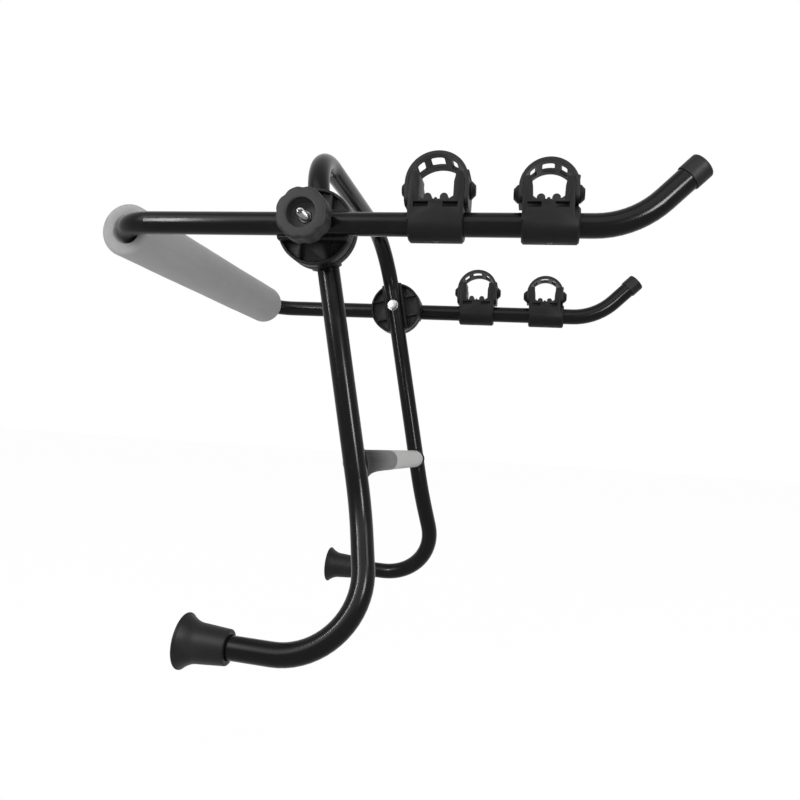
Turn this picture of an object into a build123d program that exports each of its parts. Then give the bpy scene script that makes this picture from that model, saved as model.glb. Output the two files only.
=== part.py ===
from build123d import *

import os
from math import asin, cos, pi, radians, sin, sqrt, tan

# Bicycle carrier for the back of a car, for two bicycles.
# Two bent tube frames cross at a pair of toothed hubs. The arm frame holds a foam-covered bar
# against the car and carries the cradles; the leg frame stands on the bumper with its two feet.
# A bolt through each hub clamps the two frames together under a hand knob.
# Millimetres. +X points away from the car along the arms, +Y across the carrier, +Z up.
# The origin is midway between the hubs, on the axis that the arm frame turns about.

# Tube of both frames
tube_d = 25.0
tube_wall = 1.5
tube_r = tube_d / 2
tube_bore_r = tube_r - tube_wall

# Arm frame, along its centreline
arm_half = 248.0
arm_bar_x = -235.0
arm_corner_radius = 45.0
arm_bend_x = 330.0
arm_bend_radius = 92.0
arm_tip_length = 87.0
arm_tip_angle = radians(45.0)

# Leg frame, along its centreline
hub_spacing = 43.0
leg_half = arm_half - hub_spacing
leg_tilt = radians(12.0)
leg_top_z = 109.5
leg_top_radius = 86.0
leg_splay_z = -301.0
leg_splay_radius = 165.0
leg_low_x = 96.0
leg_low_z = -449.5
leg_low_radius = 79.0
foot_half = 267.0
foot_rise = radians(1.7)
foot_run = 195.7

# Foam sleeve on the arm frame's bar
foam_r = 31.5
foam_half = 222.0
foam_end_round = 5.0
foam_gap = 0.2
foam_mouth_r = 15.5
foam_mouth_depth = 26.0

# Rubber caps on the arm tips and rubber feet
cap_r = 13.7
cap_depth = 17.0
cap_end = 3.0
cap_crown = 2.4
push_gap = 0.1
foot_rim_r = 28.6
foot_rim_edge = 4.0
foot_waist_r = 22.9
foot_neck_r = 20.3
foot_neck_at = 22.0
foot_collar_r = 18.2
foot_collar_edge = 1.4
foot_length = 51.0
foot_sole = 8.0

# Brace between the legs: an oval tube, its taller way along the legs
brace_z = -250.0
brace_half_width = 12.0
brace_half_height = 13.3
brace_wall = 1.5
brace_flare_half = 17.0
brace_flare_length = 9.0

# Hub halves
hub_r = 42.0
hub_play = 0.3
tooth_height = 2.4
tooth_count = 24
tooth_in_r = 23.0
tooth_out_r = 37.0
tooth_share = 0.84
tooth_flank = 25.0
pivot_boss_r = 13.0
hub_lip = 3.6
hub_floor = 6.2
hub_rim_height = 13.0
hub_rim_chamfer = 1.0
saddle_width = 33.0
saddle_height = 21.0
saddle_chamfer = 2.0
rib_offset = 16.0
rib_width = 3.0
rib_drop = 1.5
seat_gap = 0.1

# Bolt, washers, knob and its nut
bolt_d = 8.0
bolt_hole_gap = 0.3
pivot_gap = 0.1
bolt_head_across = 13.0
bolt_head_height = 5.3
bolt_washer_r = 8.8
washer_thickness = 1.6
knob_washer_r = 12.0
knob_washer_gap = 0.3
bolt_end_at = 43.0
bolt_chamfer = 1.0
nut_height = 6.5
nut_proud = 1.0
thread_gap = 0.05
knob_r = 28.0
knob_top_at = 40.0
knob_base_at = tube_r + knob_washer_gap + washer_thickness
knob_neck_r = 15.0
knob_neck_height = 4.0
knob_lobes = 8
knob_scallop_r = 9.0
knob_scallop_depth = 1.6
knob_recess_r = 15.3
knob_recess_depth = 16.0
knob_lobe_round = 4.0
knob_crown_chamfer = 2.5

# Cradles: the body round the arm, its uprights, pegs, pad and strap. The outer cradles have
# the same grip on the arm; above it they are smaller, and flush with its end nearer the car.
outer_share = 0.89
cradle_near_x = 134.0
cradle_pitch = 112.0
cradle_length = 57.0
cradle_depth = 38.0
cradle_end_chamfer = 2.0
cradle_bore_gap = 0.15
cradle_floor_z = 19.5
channel_half = 17.7
channel_mouth_half = 19.0
channel_lead_z = 45.0
channel_lead = 6.0
upright_top_z = 50.0
upright_bow = radians(12.0)
pocket_length = 15.4
pocket_height = 5.6
pocket_depth = 6.5
pocket_offset = 15.2
pocket_floor_z = 12.8
peg_z = 36.0
peg_r = 4.0
peg_head_r = 9.3
peg_head_rim = 1.2
peg_head_height = 5.2
peg_root = 1.0
pad_thickness = 1.6
pad_shoulder_rise = 3.2
pad_shoulder_width = 4.8
bump_r = 4.2
bump_offset = 8.4
bump_top_z = 27.2
ridge_r = 1.7
stud_r = 2.5
stud_length = 4.0
strap_thickness = 4.0
strap_gap = 0.3
strap_arch_rise = 2.0
strap_tail_z = 16.0
strap_tail_round = 7.0
window_width = 21.0
window_length = 14.6
side_window_length = 12.0
side_window_angle = 39.0
window_round = 3.0
thumb_ridge_z = 49.5
thumb_ridge_r = 1.8
screw_r = 2.0
screw_gap = 0.1
screw_head_r = 4.0
screw_head_height = 2.2
screw_head_inset = 0.5
screw_length = 9.5

sides = {"left": -1, "right": 1}
cradles = {"inner": cradle_near_x, "outer": cradle_near_x + cradle_pitch}
cradle_shares = {"inner": 1.0, "outer": outer_share}
clamp_offsets = {name: cradle_length / 2 * (1 - share) for name, share in cradle_shares.items()}


def save(piece, label):
    """Name a finished piece and write it to its own file."""
    piece.part.label = label
    export_step(piece.part, f"parts/{label}.step")


def leg_x(z):
    """X of the straight leg's centreline at height z; it passes through the hub axis."""
    return -z * tan(leg_tilt)


def arm_seat(side):
    """Frame on an arm at the hub: local Z points outwards, local X along the arm."""
    return Plane(origin=(0, side * arm_half, 0), x_dir=(1, 0, 0), z_dir=(0, side, 0))


def leg_seat(side):
    """Frame on a leg at the hub: local Z points outwards, local X along the leg."""
    return Plane(origin=(0, side * leg_half, 0), x_dir=leg_direction, z_dir=(0, side, 0))


def tip_end(side, beyond_bend):
    """Point on the turned-up tip of an arm, at a distance from its bend's corner."""
    rise = beyond_bend * sin(arm_tip_angle)
    return (arm_bend_x + beyond_bend * cos(arm_tip_angle), side * arm_half, rise)


def foot_end(side, beyond_bend):
    """Point on the lowest run of a leg, at a distance from its bend's corner."""
    rise = beyond_bend * sin(foot_rise)
    return (leg_low_x - beyond_bend * cos(foot_rise), side * foot_half, leg_low_z + rise)


def bent_tube(points, radii, outer_r=tube_r, bore_r=tube_bore_r):
    """Round tube along a centreline of straight runs joined by bends; solid if bore_r is 0."""
    with BuildPart() as bent:
        with BuildLine() as route:
            FilletPolyline(*points, radius=radii)
        with BuildSketch(Plane(origin=route.line @ 0, z_dir=route.line % 0)):
            Circle(outer_r)
            if bore_r:
                Circle(bore_r, mode=Mode.SUBTRACT)
        sweep()
    return bent.part


os.makedirs("parts", exist_ok=True)

leg_direction = Vector(sin(leg_tilt), 0, -cos(leg_tilt))
bolt_hole_r = bolt_d / 2 + bolt_hole_gap
seam_at = hub_spacing / 2

# Arm tube: the bar, two arms and their turned-up tips, with holes for the hub bolts and the
# cradle screws.
tube_tip = arm_tip_length - cap_end
arm_points = [
    tip_end(-1, tube_tip),
    (arm_bend_x, -arm_half, 0),
    (arm_bar_x, -arm_half, 0),
    (arm_bar_x, arm_half, 0),
    (arm_bend_x, arm_half, 0),
    tip_end(1, tube_tip),
]
arm_radii = [arm_bend_radius, arm_corner_radius, arm_corner_radius, arm_bend_radius]
cradle_spots = [
    (x + clamp_offsets[name], side * arm_half, 0)
    for side in sides.values()
    for name, x in cradles.items()
]

with BuildPart() as arm_tube:
    add(bent_tube(arm_points, arm_radii))
    with Locations(Plane.XZ.location):
        Cylinder(bolt_hole_r, 2 * arm_half + 2 * tube_d, mode=Mode.SUBTRACT)
    with Locations(*cradle_spots):
        with Locations((0, 0, -tube_r)):
            Cylinder(screw_r + screw_gap, 4 * tube_wall, mode=Mode.SUBTRACT)
save(arm_tube, "arm_tube")

# Leg tube: the top bar, two tilted legs that splay below the brace, and the runs to the feet.
leg_tube_end = foot_run - foot_sole
leg_side = [
    (leg_low_x, foot_half, leg_low_z),
    (leg_x(leg_splay_z), leg_half, leg_splay_z),
    (leg_x(leg_top_z), leg_half, leg_top_z),
]
leg_points = [foot_end(-1, leg_tube_end)]
leg_points += [(x, -y, z) for x, y, z in leg_side]
leg_points += list(reversed(leg_side))
leg_points += [foot_end(1, leg_tube_end)]
leg_side_radii = [leg_low_radius, leg_splay_radius, leg_top_radius]

with BuildPart() as leg_tube:
    add(bent_tube(leg_points, leg_side_radii + leg_side_radii[::-1]))
    with Locations(Plane.XZ.location):
        Cylinder(bolt_hole_r, 2 * leg_half + 2 * tube_d, mode=Mode.SUBTRACT)
save(leg_tube, "leg_tube")

# Brace: an oval tube that grows taller at its ends, each coped round the inner half of its leg.
flare_foot = leg_half - tube_r
flare_start = flare_foot - brace_flare_length
flare_end = leg_half - brace_wall

with BuildPart() as leg_brace:
    with BuildSketch():
        Ellipse(brace_half_width, brace_half_height)
    extrude(amount=flare_start, both=True)
    for side in sides.values():
        with BuildSketch(Plane.XY.offset(side * flare_start)):
            Ellipse(brace_half_width, brace_half_height)
        with BuildSketch(Plane.XY.offset(side * flare_foot)):
            Ellipse(brace_half_width, brace_flare_half)
        loft()
        with BuildSketch(Plane.XY.offset(side * flare_foot)):
            Ellipse(brace_half_width, brace_flare_half)
        extrude(amount=side * (flare_end - flare_foot))
    with BuildSketch():
        Ellipse(brace_half_width - brace_wall, brace_half_height - brace_wall)
    extrude(amount=flare_end, both=True, mode=Mode.SUBTRACT)
across_leg = Vector(cos(leg_tilt), 0, sin(leg_tilt))
brace_place = Plane(origin=(leg_x(brace_z), 0, brace_z), x_dir=across_leg, z_dir=(0, 1, 0))
with BuildPart() as coped_brace:
    with Locations(brace_place.location):
        add(leg_brace.part)
    for side in sides.values():
        leg_line = Plane(origin=(leg_x(brace_z), side * leg_half, brace_z), z_dir=leg_direction)
        with Locations(leg_line.location):
            Cylinder(tube_r, 2 * leg_half, mode=Mode.SUBTRACT)
save(coped_brace, "leg_brace")

# Foam sleeve, slid over the bar of the arm frame. Its mouths are wider than the tube, which
# already bends towards the arms there and presses into them.
bar_place = Plane(origin=(arm_bar_x, 0, 0), z_dir=(0, 1, 0))
with BuildPart() as foam_sleeve:
    with Locations(bar_place.location):
        Cylinder(foam_r, 2 * foam_half)
    fillet(foam_sleeve.edges().filter_by(GeomType.CIRCLE), radius=foam_end_round)
    with Locations(bar_place.location):
        Cylinder(tube_r + foam_gap, 2 * foam_half, mode=Mode.SUBTRACT)
        for side in sides.values():
            with Locations((0, 0, side * foam_half)):
                Cylinder(foam_mouth_r, 2 * foam_mouth_depth, mode=Mode.SUBTRACT)
    add(bent_tube(arm_points, arm_radii, tube_r + foam_gap, 0), mode=Mode.SUBTRACT)
save(foam_sleeve, "foam_sleeve")

# Rubber cap for an arm tip: a cup with a slightly crowned end.
cap_length = cap_depth + cap_end
with BuildPart() as arm_cap:
    with Locations((0, 0, -cap_depth)):
        Cylinder(cap_r, cap_length, align=(Align.CENTER, Align.CENTER, Align.MIN))
    fillet(arm_cap.edges().group_by(Axis.Z)[-1], radius=cap_crown)
    with Locations((0, 0, -cap_depth)):
        Cylinder(
            tube_r + push_gap, cap_depth, align=(Align.CENTER, Align.CENTER, Align.MIN), mode=Mode.SUBTRACT
        )

# Rubber foot: a collar on the leg's end that flares to a wide sole.
with BuildPart() as foot:
    with BuildSketch(Plane.XZ):
        with BuildLine():
            Polyline((0, 0), (foot_rim_r - foot_rim_edge / 2, 0), (foot_rim_r, foot_rim_edge / 2))
            Line((foot_rim_r, foot_rim_edge / 2), (foot_rim_r, foot_rim_edge))
            waist_at = (foot_rim_edge + foot_neck_at) / 2
            ThreePointArc(
                (foot_rim_r, foot_rim_edge), (foot_waist_r, waist_at), (foot_neck_r, foot_neck_at)
            )
            collar_top_r = foot_collar_r - foot_collar_edge
            collar_edge_at = foot_length - foot_collar_edge
            Polyline(
                (foot_neck_r, foot_neck_at),
                (foot_collar_r, collar_edge_at),
                (collar_top_r, foot_length),
                (0, foot_length),
                (0, 0),
            )
        make_face()
    revolve(axis=Axis.Z)
    with Locations((0, 0, foot_sole)):
        Cylinder(
            tube_r + push_gap,
            foot_length,
            align=(Align.CENTER, Align.CENTER, Align.MIN),
            mode=Mode.SUBTRACT,
        )

for name, side in sides.items():
    tip_place = Plane(
        origin=tip_end(side, tube_tip), x_dir=(0, 1, 0), z_dir=(cos(arm_tip_angle), 0, sin(arm_tip_angle))
    )
    with BuildPart() as seated_cap:
        with Locations(tip_place.location):
            add(arm_cap.part)
    save(seated_cap, f"arm_cap_{name}")

    sole_place = Plane(
        origin=foot_end(side, foot_run), x_dir=(0, 1, 0), z_dir=(cos(foot_rise), 0, -sin(foot_rise))
    )
    with BuildPart() as seated_foot:
        with Locations(sole_place.location):
            add(foot.part)
    save(seated_foot, f"foot_{name}")

# Hub half: a moulded disc with a saddle for the tube, a rim, ribs and pockets on its outer
# face, and a ring of radial teeth inside a lip on its inner face. Local Z runs from the seam
# between the halves to the tube; local X runs along the tube.
crest_z = hub_play / 2
root_z = crest_z + tooth_height
lip_z = crest_z + tooth_height / 2
lip_in_r = hub_r - hub_lip
half_pitch_in = pi * tooth_in_r / tooth_count
half_pitch_out = pi * tooth_out_r / tooth_count

with BuildPart() as tooth:
    with BuildSketch(Plane(origin=(0, 0, root_z), z_dir=(0, 0, -1))):
        with BuildLine():
            Polyline(
                (tooth_in_r, -half_pitch_in * tooth_share),
                (tooth_out_r, -half_pitch_out * tooth_share),
                (tooth_out_r, half_pitch_out * tooth_share),
                (tooth_in_r, half_pitch_in * tooth_share),
                close=True,
            )
        make_face()
    extrude(amount=tooth_height, taper=tooth_flank)

with BuildPart() as hub_half:
    with BuildSketch(Plane.XY.offset(root_z)):
        Circle(hub_r)
    extrude(amount=hub_floor - root_z)
    with BuildSketch(Plane.XY.offset(lip_z)):
        Circle(hub_r)
        Circle(lip_in_r, mode=Mode.SUBTRACT)
    extrude(amount=hub_rim_height - lip_z)
    chamfer(hub_half.edges().filter_by(GeomType.CIRCLE).group_by(Axis.Z)[-1], length=hub_rim_chamfer)
    with BuildSketch(Plane.XY.offset(hub_floor)):
        with Locations((-rib_offset, 0), (rib_offset, 0)):
            Rectangle(rib_width, 2 * hub_r)
        Circle(lip_in_r, mode=Mode.INTERSECT)
    extrude(amount=hub_rim_height - rib_drop - hub_floor)
    with BuildSketch(Plane.XY.offset(hub_floor)):
        Rectangle(2 * hub_r, saddle_width)
        Circle(hub_r, mode=Mode.INTERSECT)
    extrude(amount=saddle_height - hub_floor)
    chamfer(hub_half.faces().sort_by(Axis.Z)[-1].edges(), length=saddle_chamfer)
    with BuildSketch(Plane.XY.offset(crest_z)):
        Circle(pivot_boss_r)
    extrude(amount=tooth_height)
    with PolarLocations(0, tooth_count):
        add(tooth.part)
    with Locations(Plane(origin=(0, 0, seam_at), z_dir=(1, 0, 0)).location):
        Cylinder(tube_r + seat_gap, 3 * hub_r, mode=Mode.SUBTRACT)
    Cylinder(bolt_d / 2 + pivot_gap, 2 * hub_spacing, mode=Mode.SUBTRACT)

# Clamping parts. Local Z points outwards; zero is the arm's centreline for the knob, its nut
# and its washer, and the leg's centreline for the bolt and its washer.
with BuildPart() as washer:
    Cylinder(knob_washer_r, washer_thickness)
    Cylinder(bolt_hole_r, washer_thickness, mode=Mode.SUBTRACT)

with BuildPart() as bolt_washer:
    Cylinder(bolt_washer_r, washer_thickness)
    Cylinder(bolt_d / 2 + thread_gap, washer_thickness, mode=Mode.SUBTRACT)

head_face = tube_r + washer_thickness
with BuildPart() as bolt:
    with BuildSketch(Plane.XY.offset(-head_face - bolt_head_height)):
        RegularPolygon(bolt_head_across / 2, 6, major_radius=False)
    extrude(amount=bolt_head_height)
    with Locations((0, 0, -head_face)):
        Cylinder(
            bolt_d / 2, head_face + hub_spacing + bolt_end_at, align=(Align.CENTER, Align.CENTER, Align.MIN)
        )
    chamfer(bolt.edges().group_by(Axis.Z)[-1], length=bolt_chamfer)

recess_floor = knob_top_at - knob_recess_depth
nut_face = recess_floor + nut_proud
with BuildPart() as nut:
    with BuildSketch(Plane.XY.offset(nut_face - nut_height)):
        RegularPolygon(bolt_head_across / 2, 6, major_radius=False)
        Circle(bolt_d / 2 + thread_gap, mode=Mode.SUBTRACT)
    extrude(amount=nut_height)

scallop_centre = knob_r - knob_scallop_depth + knob_scallop_r
with BuildPart() as knob:
    with BuildSketch(Plane.XY.offset(knob_base_at + knob_neck_height)) as lobes:
        Circle(knob_r)
        with PolarLocations(scallop_centre, knob_lobes):
            Circle(knob_scallop_r, mode=Mode.SUBTRACT)
        fillet(lobes.vertices(), radius=knob_lobe_round)
    extrude(amount=knob_top_at - knob_base_at - knob_neck_height)
    chamfer(knob.faces().sort_by(Axis.Z)[-1].edges(), length=knob_crown_chamfer)
    with BuildSketch(Plane.XY.offset(knob_base_at)):
        Circle(knob_neck_r)
    extrude(amount=knob_neck_height)
    with BuildSketch(Plane.XY.offset(knob_top_at)):
        Circle(knob_recess_r)
    extrude(amount=-knob_recess_depth, mode=Mode.SUBTRACT)
    with BuildSketch(Plane.XY.offset(nut_face - nut_height)):
        RegularPolygon(bolt_head_across / 2, 6, major_radius=False)
    extrude(amount=nut_height, mode=Mode.SUBTRACT)
    Cylinder(bolt_hole_r, 2 * knob_top_at, mode=Mode.SUBTRACT)

bolt_washer_at = tube_r + washer_thickness / 2
knob_washer_at = knob_base_at - washer_thickness / 2
for name, side in sides.items():
    arm_side = Plane(origin=(0, side * (arm_half - seam_at), 0), x_dir=(1, 0, 0), z_dir=(0, side, 0))
    with BuildPart() as outer_hub:
        with Locations(arm_side.location):
            add(hub_half.part)
    save(outer_hub, f"outer_hub_{name}")

    leg_side_seat = Plane(
        origin=(0, side * (leg_half + seam_at), 0), x_dir=leg_direction, z_dir=(0, -side, 0)
    )
    with BuildPart() as inner_hub:
        with Locations(leg_side_seat.location):
            add(hub_half.part)
    save(inner_hub, f"inner_hub_{name}")

    with BuildPart() as seated_knob:
        with Locations(arm_seat(side).location):
            add(knob.part)
    save(seated_knob, f"knob_{name}")

    with BuildPart() as seated_nut:
        with Locations(arm_seat(side).location):
            add(nut.part)
    save(seated_nut, f"knob_nut_{name}")

    with BuildPart() as knob_washer:
        with Locations(arm_seat(side).offset(knob_washer_at).location):
            add(washer.part)
    save(knob_washer, f"knob_washer_{name}")

    with BuildPart() as hub_bolt:
        with Locations(leg_seat(side).location):
            add(bolt.part)
    save(hub_bolt, f"hub_bolt_{name}")

    with BuildPart() as seated_washer:
        with Locations(leg_seat(side).offset(-bolt_washer_at).location):
            add(bolt_washer.part)
    save(seated_washer, f"bolt_washer_{name}")

# Screw that fixes a cradle to its arm from below.
half_depth = cradle_depth / 2
with BuildPart() as screw:
    with Locations((0, 0, screw_head_inset - half_depth)):
        Cylinder(screw_head_r, screw_head_height, align=(Align.CENTER, Align.CENTER, Align.MIN))
    with Locations((0, 0, screw_head_inset + screw_head_height - half_depth)):
        Cylinder(screw_r, screw_length, align=(Align.CENTER, Align.CENTER, Align.MIN))

with BuildPart() as cradle_screws:
    with Locations(*cradle_spots):
        add(screw.part)
save(cradle_screws, "cradle_screws")

# Cradles. Local X runs along the arm from the middle of the channel, Z is up from the arm's
# centreline. The bicycle's tube lies along Y in the channel between the uprights.
neck_length = strap_thickness + 2 * strap_gap
for spot_name, spot_x in cradles.items():
    share = cradle_shares[spot_name]
    clamp_at = clamp_offsets[spot_name]
    half_reach = cradle_length / 2 * share
    top_z = upright_top_z * share
    arch_z = (peg_z + strap_arch_rise) * share
    top_half = sqrt(half_reach**2 - (top_z - arch_z) ** 2)
    bow = (half_reach * cos(upright_bow), arch_z + half_reach * sin(upright_bow))
    gap_half = channel_half * share
    gap_top_half = channel_mouth_half * share
    mouth_z = channel_lead_z * share
    lead_z = mouth_z - channel_lead
    pocket_x = pocket_offset * share
    bump_x = bump_offset * share
    bump_z = cradle_floor_z + (bump_top_z - cradle_floor_z) * share - bump_r

    with BuildPart() as cradle:
        with Locations(Plane(origin=(clamp_at, 0, 0), z_dir=(1, 0, 0)).location):
            Cylinder(half_depth, cradle_length)
        chamfer(cradle.edges().filter_by(GeomType.CIRCLE), length=cradle_end_chamfer)
        with BuildSketch(Plane.XZ):
            with BuildLine():
                Polyline((-half_reach, arch_z), (-half_reach, 0), (half_reach, 0), (half_reach, arch_z))
                ThreePointArc((half_reach, arch_z), bow, (top_half, top_z))
                Polyline(
                    (top_half, top_z),
                    (gap_top_half, top_z),
                    (gap_top_half, mouth_z),
                    (gap_half, lead_z),
                    (gap_half, cradle_floor_z),
                    (-gap_half, cradle_floor_z),
                    (-gap_half, lead_z),
                    (-gap_top_half, mouth_z),
                    (-gap_top_half, top_z),
                    (-top_half, top_z),
                )
                ThreePointArc((-top_half, top_z), (-bow[0], bow[1]), (-half_reach, arch_z))
            make_face()
        extrude(amount=half_depth, both=True)
        with Locations(
            (-pocket_x, half_depth - pocket_depth / 2, pocket_floor_z),
            (pocket_x, half_depth - pocket_depth / 2, pocket_floor_z),
            (-pocket_x, pocket_depth / 2 - half_depth, pocket_floor_z),
            (pocket_x, pocket_depth / 2 - half_depth, pocket_floor_z),
        ):
            Box(
                pocket_length * share,
                pocket_depth,
                pocket_height,
                align=(Align.CENTER, Align.CENTER, Align.MIN),
                mode=Mode.SUBTRACT,
            )
        with Locations(Plane.YZ.location):
            Cylinder(tube_r + cradle_bore_gap, 2 * cradle_length, mode=Mode.SUBTRACT)
        with Locations((-bump_x, 0, cradle_floor_z), (bump_x, 0, cradle_floor_z)):
            Cylinder(
                stud_r, stud_length, align=(Align.CENTER, Align.CENTER, Align.MAX), mode=Mode.SUBTRACT
            )
        with Locations((clamp_at, 0, -half_depth)):
            Cylinder(screw_r + screw_gap, half_depth, mode=Mode.SUBTRACT)
            Cylinder(
                screw_head_r + screw_gap,
                2 * (screw_head_height + screw_head_inset),
                mode=Mode.SUBTRACT,
            )

    # Peg for the strap: a neck and a head, on each end of the cradle.
    with BuildPart() as peg:
        with Locations((0, 0, half_reach + neck_length)):
            Cylinder(peg_head_r, peg_head_height, align=(Align.CENTER, Align.CENTER, Align.MIN))
        chamfer(peg.edges().group_by(Axis.Z)[-1], length=peg_head_height - peg_head_rim)
        with Locations((0, 0, half_reach - peg_root)):
            Cylinder(peg_r, neck_length + 2 * peg_root, align=(Align.CENTER, Align.CENTER, Align.MIN))

    # Pad: a rubber floor with two long bumps, a low ridge between them and a sloped shoulder at
    # each upright, on two studs.
    pad_half = gap_half - push_gap
    pad_top = cradle_floor_z + pad_thickness
    shoulder_in = pad_half - pad_shoulder_width
    shoulder_top = pad_top + pad_shoulder_rise
    with BuildPart() as pad:
        with BuildSketch(Plane.XZ):
            with Locations((0, cradle_floor_z)):
                Rectangle(2 * pad_half, pad_thickness, align=(Align.CENTER, Align.MIN))
            with Locations((-bump_x, bump_z), (bump_x, bump_z)):
                Circle(bump_r)
            with Locations((-bump_x, cradle_floor_z), (bump_x, cradle_floor_z)):
                Rectangle(2 * bump_r, bump_z - cradle_floor_z, align=(Align.CENTER, Align.MIN))
            with Locations((0, pad_top)):
                Circle(ridge_r)
            for end in (-1, 1):
                with BuildLine():
                    Polyline(
                        (end * shoulder_in, pad_top),
                        (end * pad_half, pad_top),
                        (end * pad_half, shoulder_top),
                        (end * shoulder_in, pad_top),
                    )
                make_face()
            with Locations((0, cradle_floor_z)):
                Rectangle(
                    cradle_length, cradle_floor_z, align=(Align.CENTER, Align.MAX), mode=Mode.SUBTRACT
                )
        extrude(amount=half_depth, both=True)
        with Locations((-bump_x, 0, cradle_floor_z), (bump_x, 0, cradle_floor_z)):
            Cylinder(stud_r, stud_length, align=(Align.CENTER, Align.CENTER, Align.MAX))

    # Strap: a rubber ladder over the uprights, held by a hole on each peg. Its tails hang past
    # the clamp, or stop above it where the clamp is longer than the strap is wide.
    strap_in = half_reach + strap_gap
    strap_out = strap_in + strap_thickness
    tail_z = strap_tail_z if clamp_at == 0 else half_depth + strap_gap
    windows = (
        (-side_window_angle, side_window_length),
        (0, window_length),
        (side_window_angle, side_window_length),
    )
    ridge_z = thumb_ridge_z * share
    ridge_turn = asin((ridge_z - arch_z) / strap_out)

    with BuildPart() as strap:
        with BuildSketch(Plane.XZ):
            with BuildLine():
                Line((-strap_out, tail_z), (-strap_out, arch_z))
                ThreePointArc((-strap_out, arch_z), (0, arch_z + strap_out), (strap_out, arch_z))
                Polyline((strap_out, arch_z), (strap_out, tail_z), (strap_in, tail_z), (strap_in, arch_z))
                ThreePointArc((strap_in, arch_z), (0, arch_z + strap_in), (-strap_in, arch_z))
                Polyline((-strap_in, arch_z), (-strap_in, tail_z), (-strap_out, tail_z))
            make_face()
        extrude(amount=half_depth, both=True)
        fillet(strap.edges().filter_by(Axis.X).group_by(Axis.Z)[0], radius=strap_tail_round)
        for turn, length in windows:
            lean = radians(turn)
            rung_plane = Plane(
                origin=(strap_in * sin(lean), 0, arch_z + strap_in * cos(lean)),
                x_dir=(cos(lean), 0, -sin(lean)),
                z_dir=(sin(lean), 0, cos(lean)),
            )
            with BuildSketch(rung_plane):
                RectangleRounded(length * share, window_width, window_round)
            extrude(amount=2 * strap_thickness, both=True, mode=Mode.SUBTRACT)
        with Locations((strap_out * cos(ridge_turn), 0, ridge_z)):
            Cylinder(thumb_ridge_r, cradle_depth, rotation=(90, 0, 0))
        with Locations(Plane(origin=(0, 0, peg_z * share), z_dir=(1, 0, 0)).location):
            Cylinder(peg_r + strap_gap, 3 * half_reach, mode=Mode.SUBTRACT)

    for side_name, side in sides.items():
        spot = Location((spot_x, side * arm_half, 0))
        with BuildPart() as cradle_base:
            with Locations(spot):
                add(cradle.part)
                with Locations((0, 0, peg_z * share)):
                    with Locations(Plane(origin=(0, 0, 0), z_dir=(1, 0, 0)).location):
                        add(peg.part)
                    with Locations(Plane(origin=(0, 0, 0), z_dir=(-1, 0, 0)).location):
                        add(peg.part)
        save(cradle_base, f"cradle_base_{side_name}_{spot_name}")

        with BuildPart() as cradle_pad:
            with Locations(spot):
                add(pad.part)
        save(cradle_pad, f"cradle_pad_{side_name}_{spot_name}")

        with BuildPart() as cradle_strap:
            with Locations(spot):
                add(strap.part)
        save(cradle_strap, f"cradle_strap_{side_name}_{spot_name}")
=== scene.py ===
"""Dresses a two-bicycle rear carrier: tube frames, toothed hubs, hand knobs, cradles, foam and feet.

Metres, in the frame of the solid model: +X points away from the car along the arms, +Y across the
carrier and +Z up, with the origin midway between the hubs, on the axis the arm frame turns about.
"""

from __future__ import annotations

import logging
import math
from contextlib import contextmanager
from dataclasses import dataclass
from enum import Enum
from typing import Callable, Iterator, Sequence, Union

import bmesh
import bpy
from mathutils import Matrix, Vector, noise

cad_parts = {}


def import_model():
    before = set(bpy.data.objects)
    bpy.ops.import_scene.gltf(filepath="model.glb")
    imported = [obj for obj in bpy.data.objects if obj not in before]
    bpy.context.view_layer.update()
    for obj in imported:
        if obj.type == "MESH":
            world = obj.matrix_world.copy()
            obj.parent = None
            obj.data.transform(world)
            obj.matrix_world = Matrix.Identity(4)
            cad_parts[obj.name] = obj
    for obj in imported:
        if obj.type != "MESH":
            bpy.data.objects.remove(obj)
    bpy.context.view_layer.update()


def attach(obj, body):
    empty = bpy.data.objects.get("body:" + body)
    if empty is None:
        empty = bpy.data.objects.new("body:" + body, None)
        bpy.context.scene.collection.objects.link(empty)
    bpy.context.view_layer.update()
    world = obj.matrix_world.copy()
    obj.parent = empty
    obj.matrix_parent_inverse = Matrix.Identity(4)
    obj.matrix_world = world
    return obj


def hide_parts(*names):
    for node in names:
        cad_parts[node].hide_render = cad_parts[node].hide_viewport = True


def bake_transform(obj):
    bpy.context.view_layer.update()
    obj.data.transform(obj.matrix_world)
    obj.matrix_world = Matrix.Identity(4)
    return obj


log = logging.getLogger("carrier")

# Lengths are in metres, written as millimetres times MM, and angles are in radians.
MM = 0.001
FULL_TURN = 2 * math.pi
MERGE_WITHIN = 0.01 * MM
BEVEL_FROM = math.radians(28)
FLAT_WITHIN = math.radians(1.2)

Outline = Callable[[float], float]
Number = Union[int, float]
Triple = tuple[float, float, float]
Span = tuple[float, float]


class Side(Enum):
    """A side of the carrier. The value is the sign of its Y."""

    LEFT = -1
    RIGHT = 1

    @property
    def word(self) -> str:
        """The side as it stands in a piece's name."""
        return self.name.lower()


class Spot(Enum):
    """A cradle's place on its arm: the X of its channel and its size above the arm."""

    INNER = (134.0 * MM, 1.0)
    OUTER = (246.0 * MM, 0.89)

    @property
    def word(self) -> str:
        """The place as it stands in a piece's name."""
        return self.name.lower()

    @property
    def along(self) -> float:
        """The X of the channel's middle, in metres."""
        return self.value[0]

    @property
    def share(self) -> float:
        """The cradle's size above the arm, as a share of the inner one's."""
        return self.value[1]


class Shade(Enum):
    """How a finished mesh is shaded. The value is the least angle that stays sharp, in degrees."""

    ROUND = 60.0
    CRISP = 34.0
    FINE = 30.0


# Shader building


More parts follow.
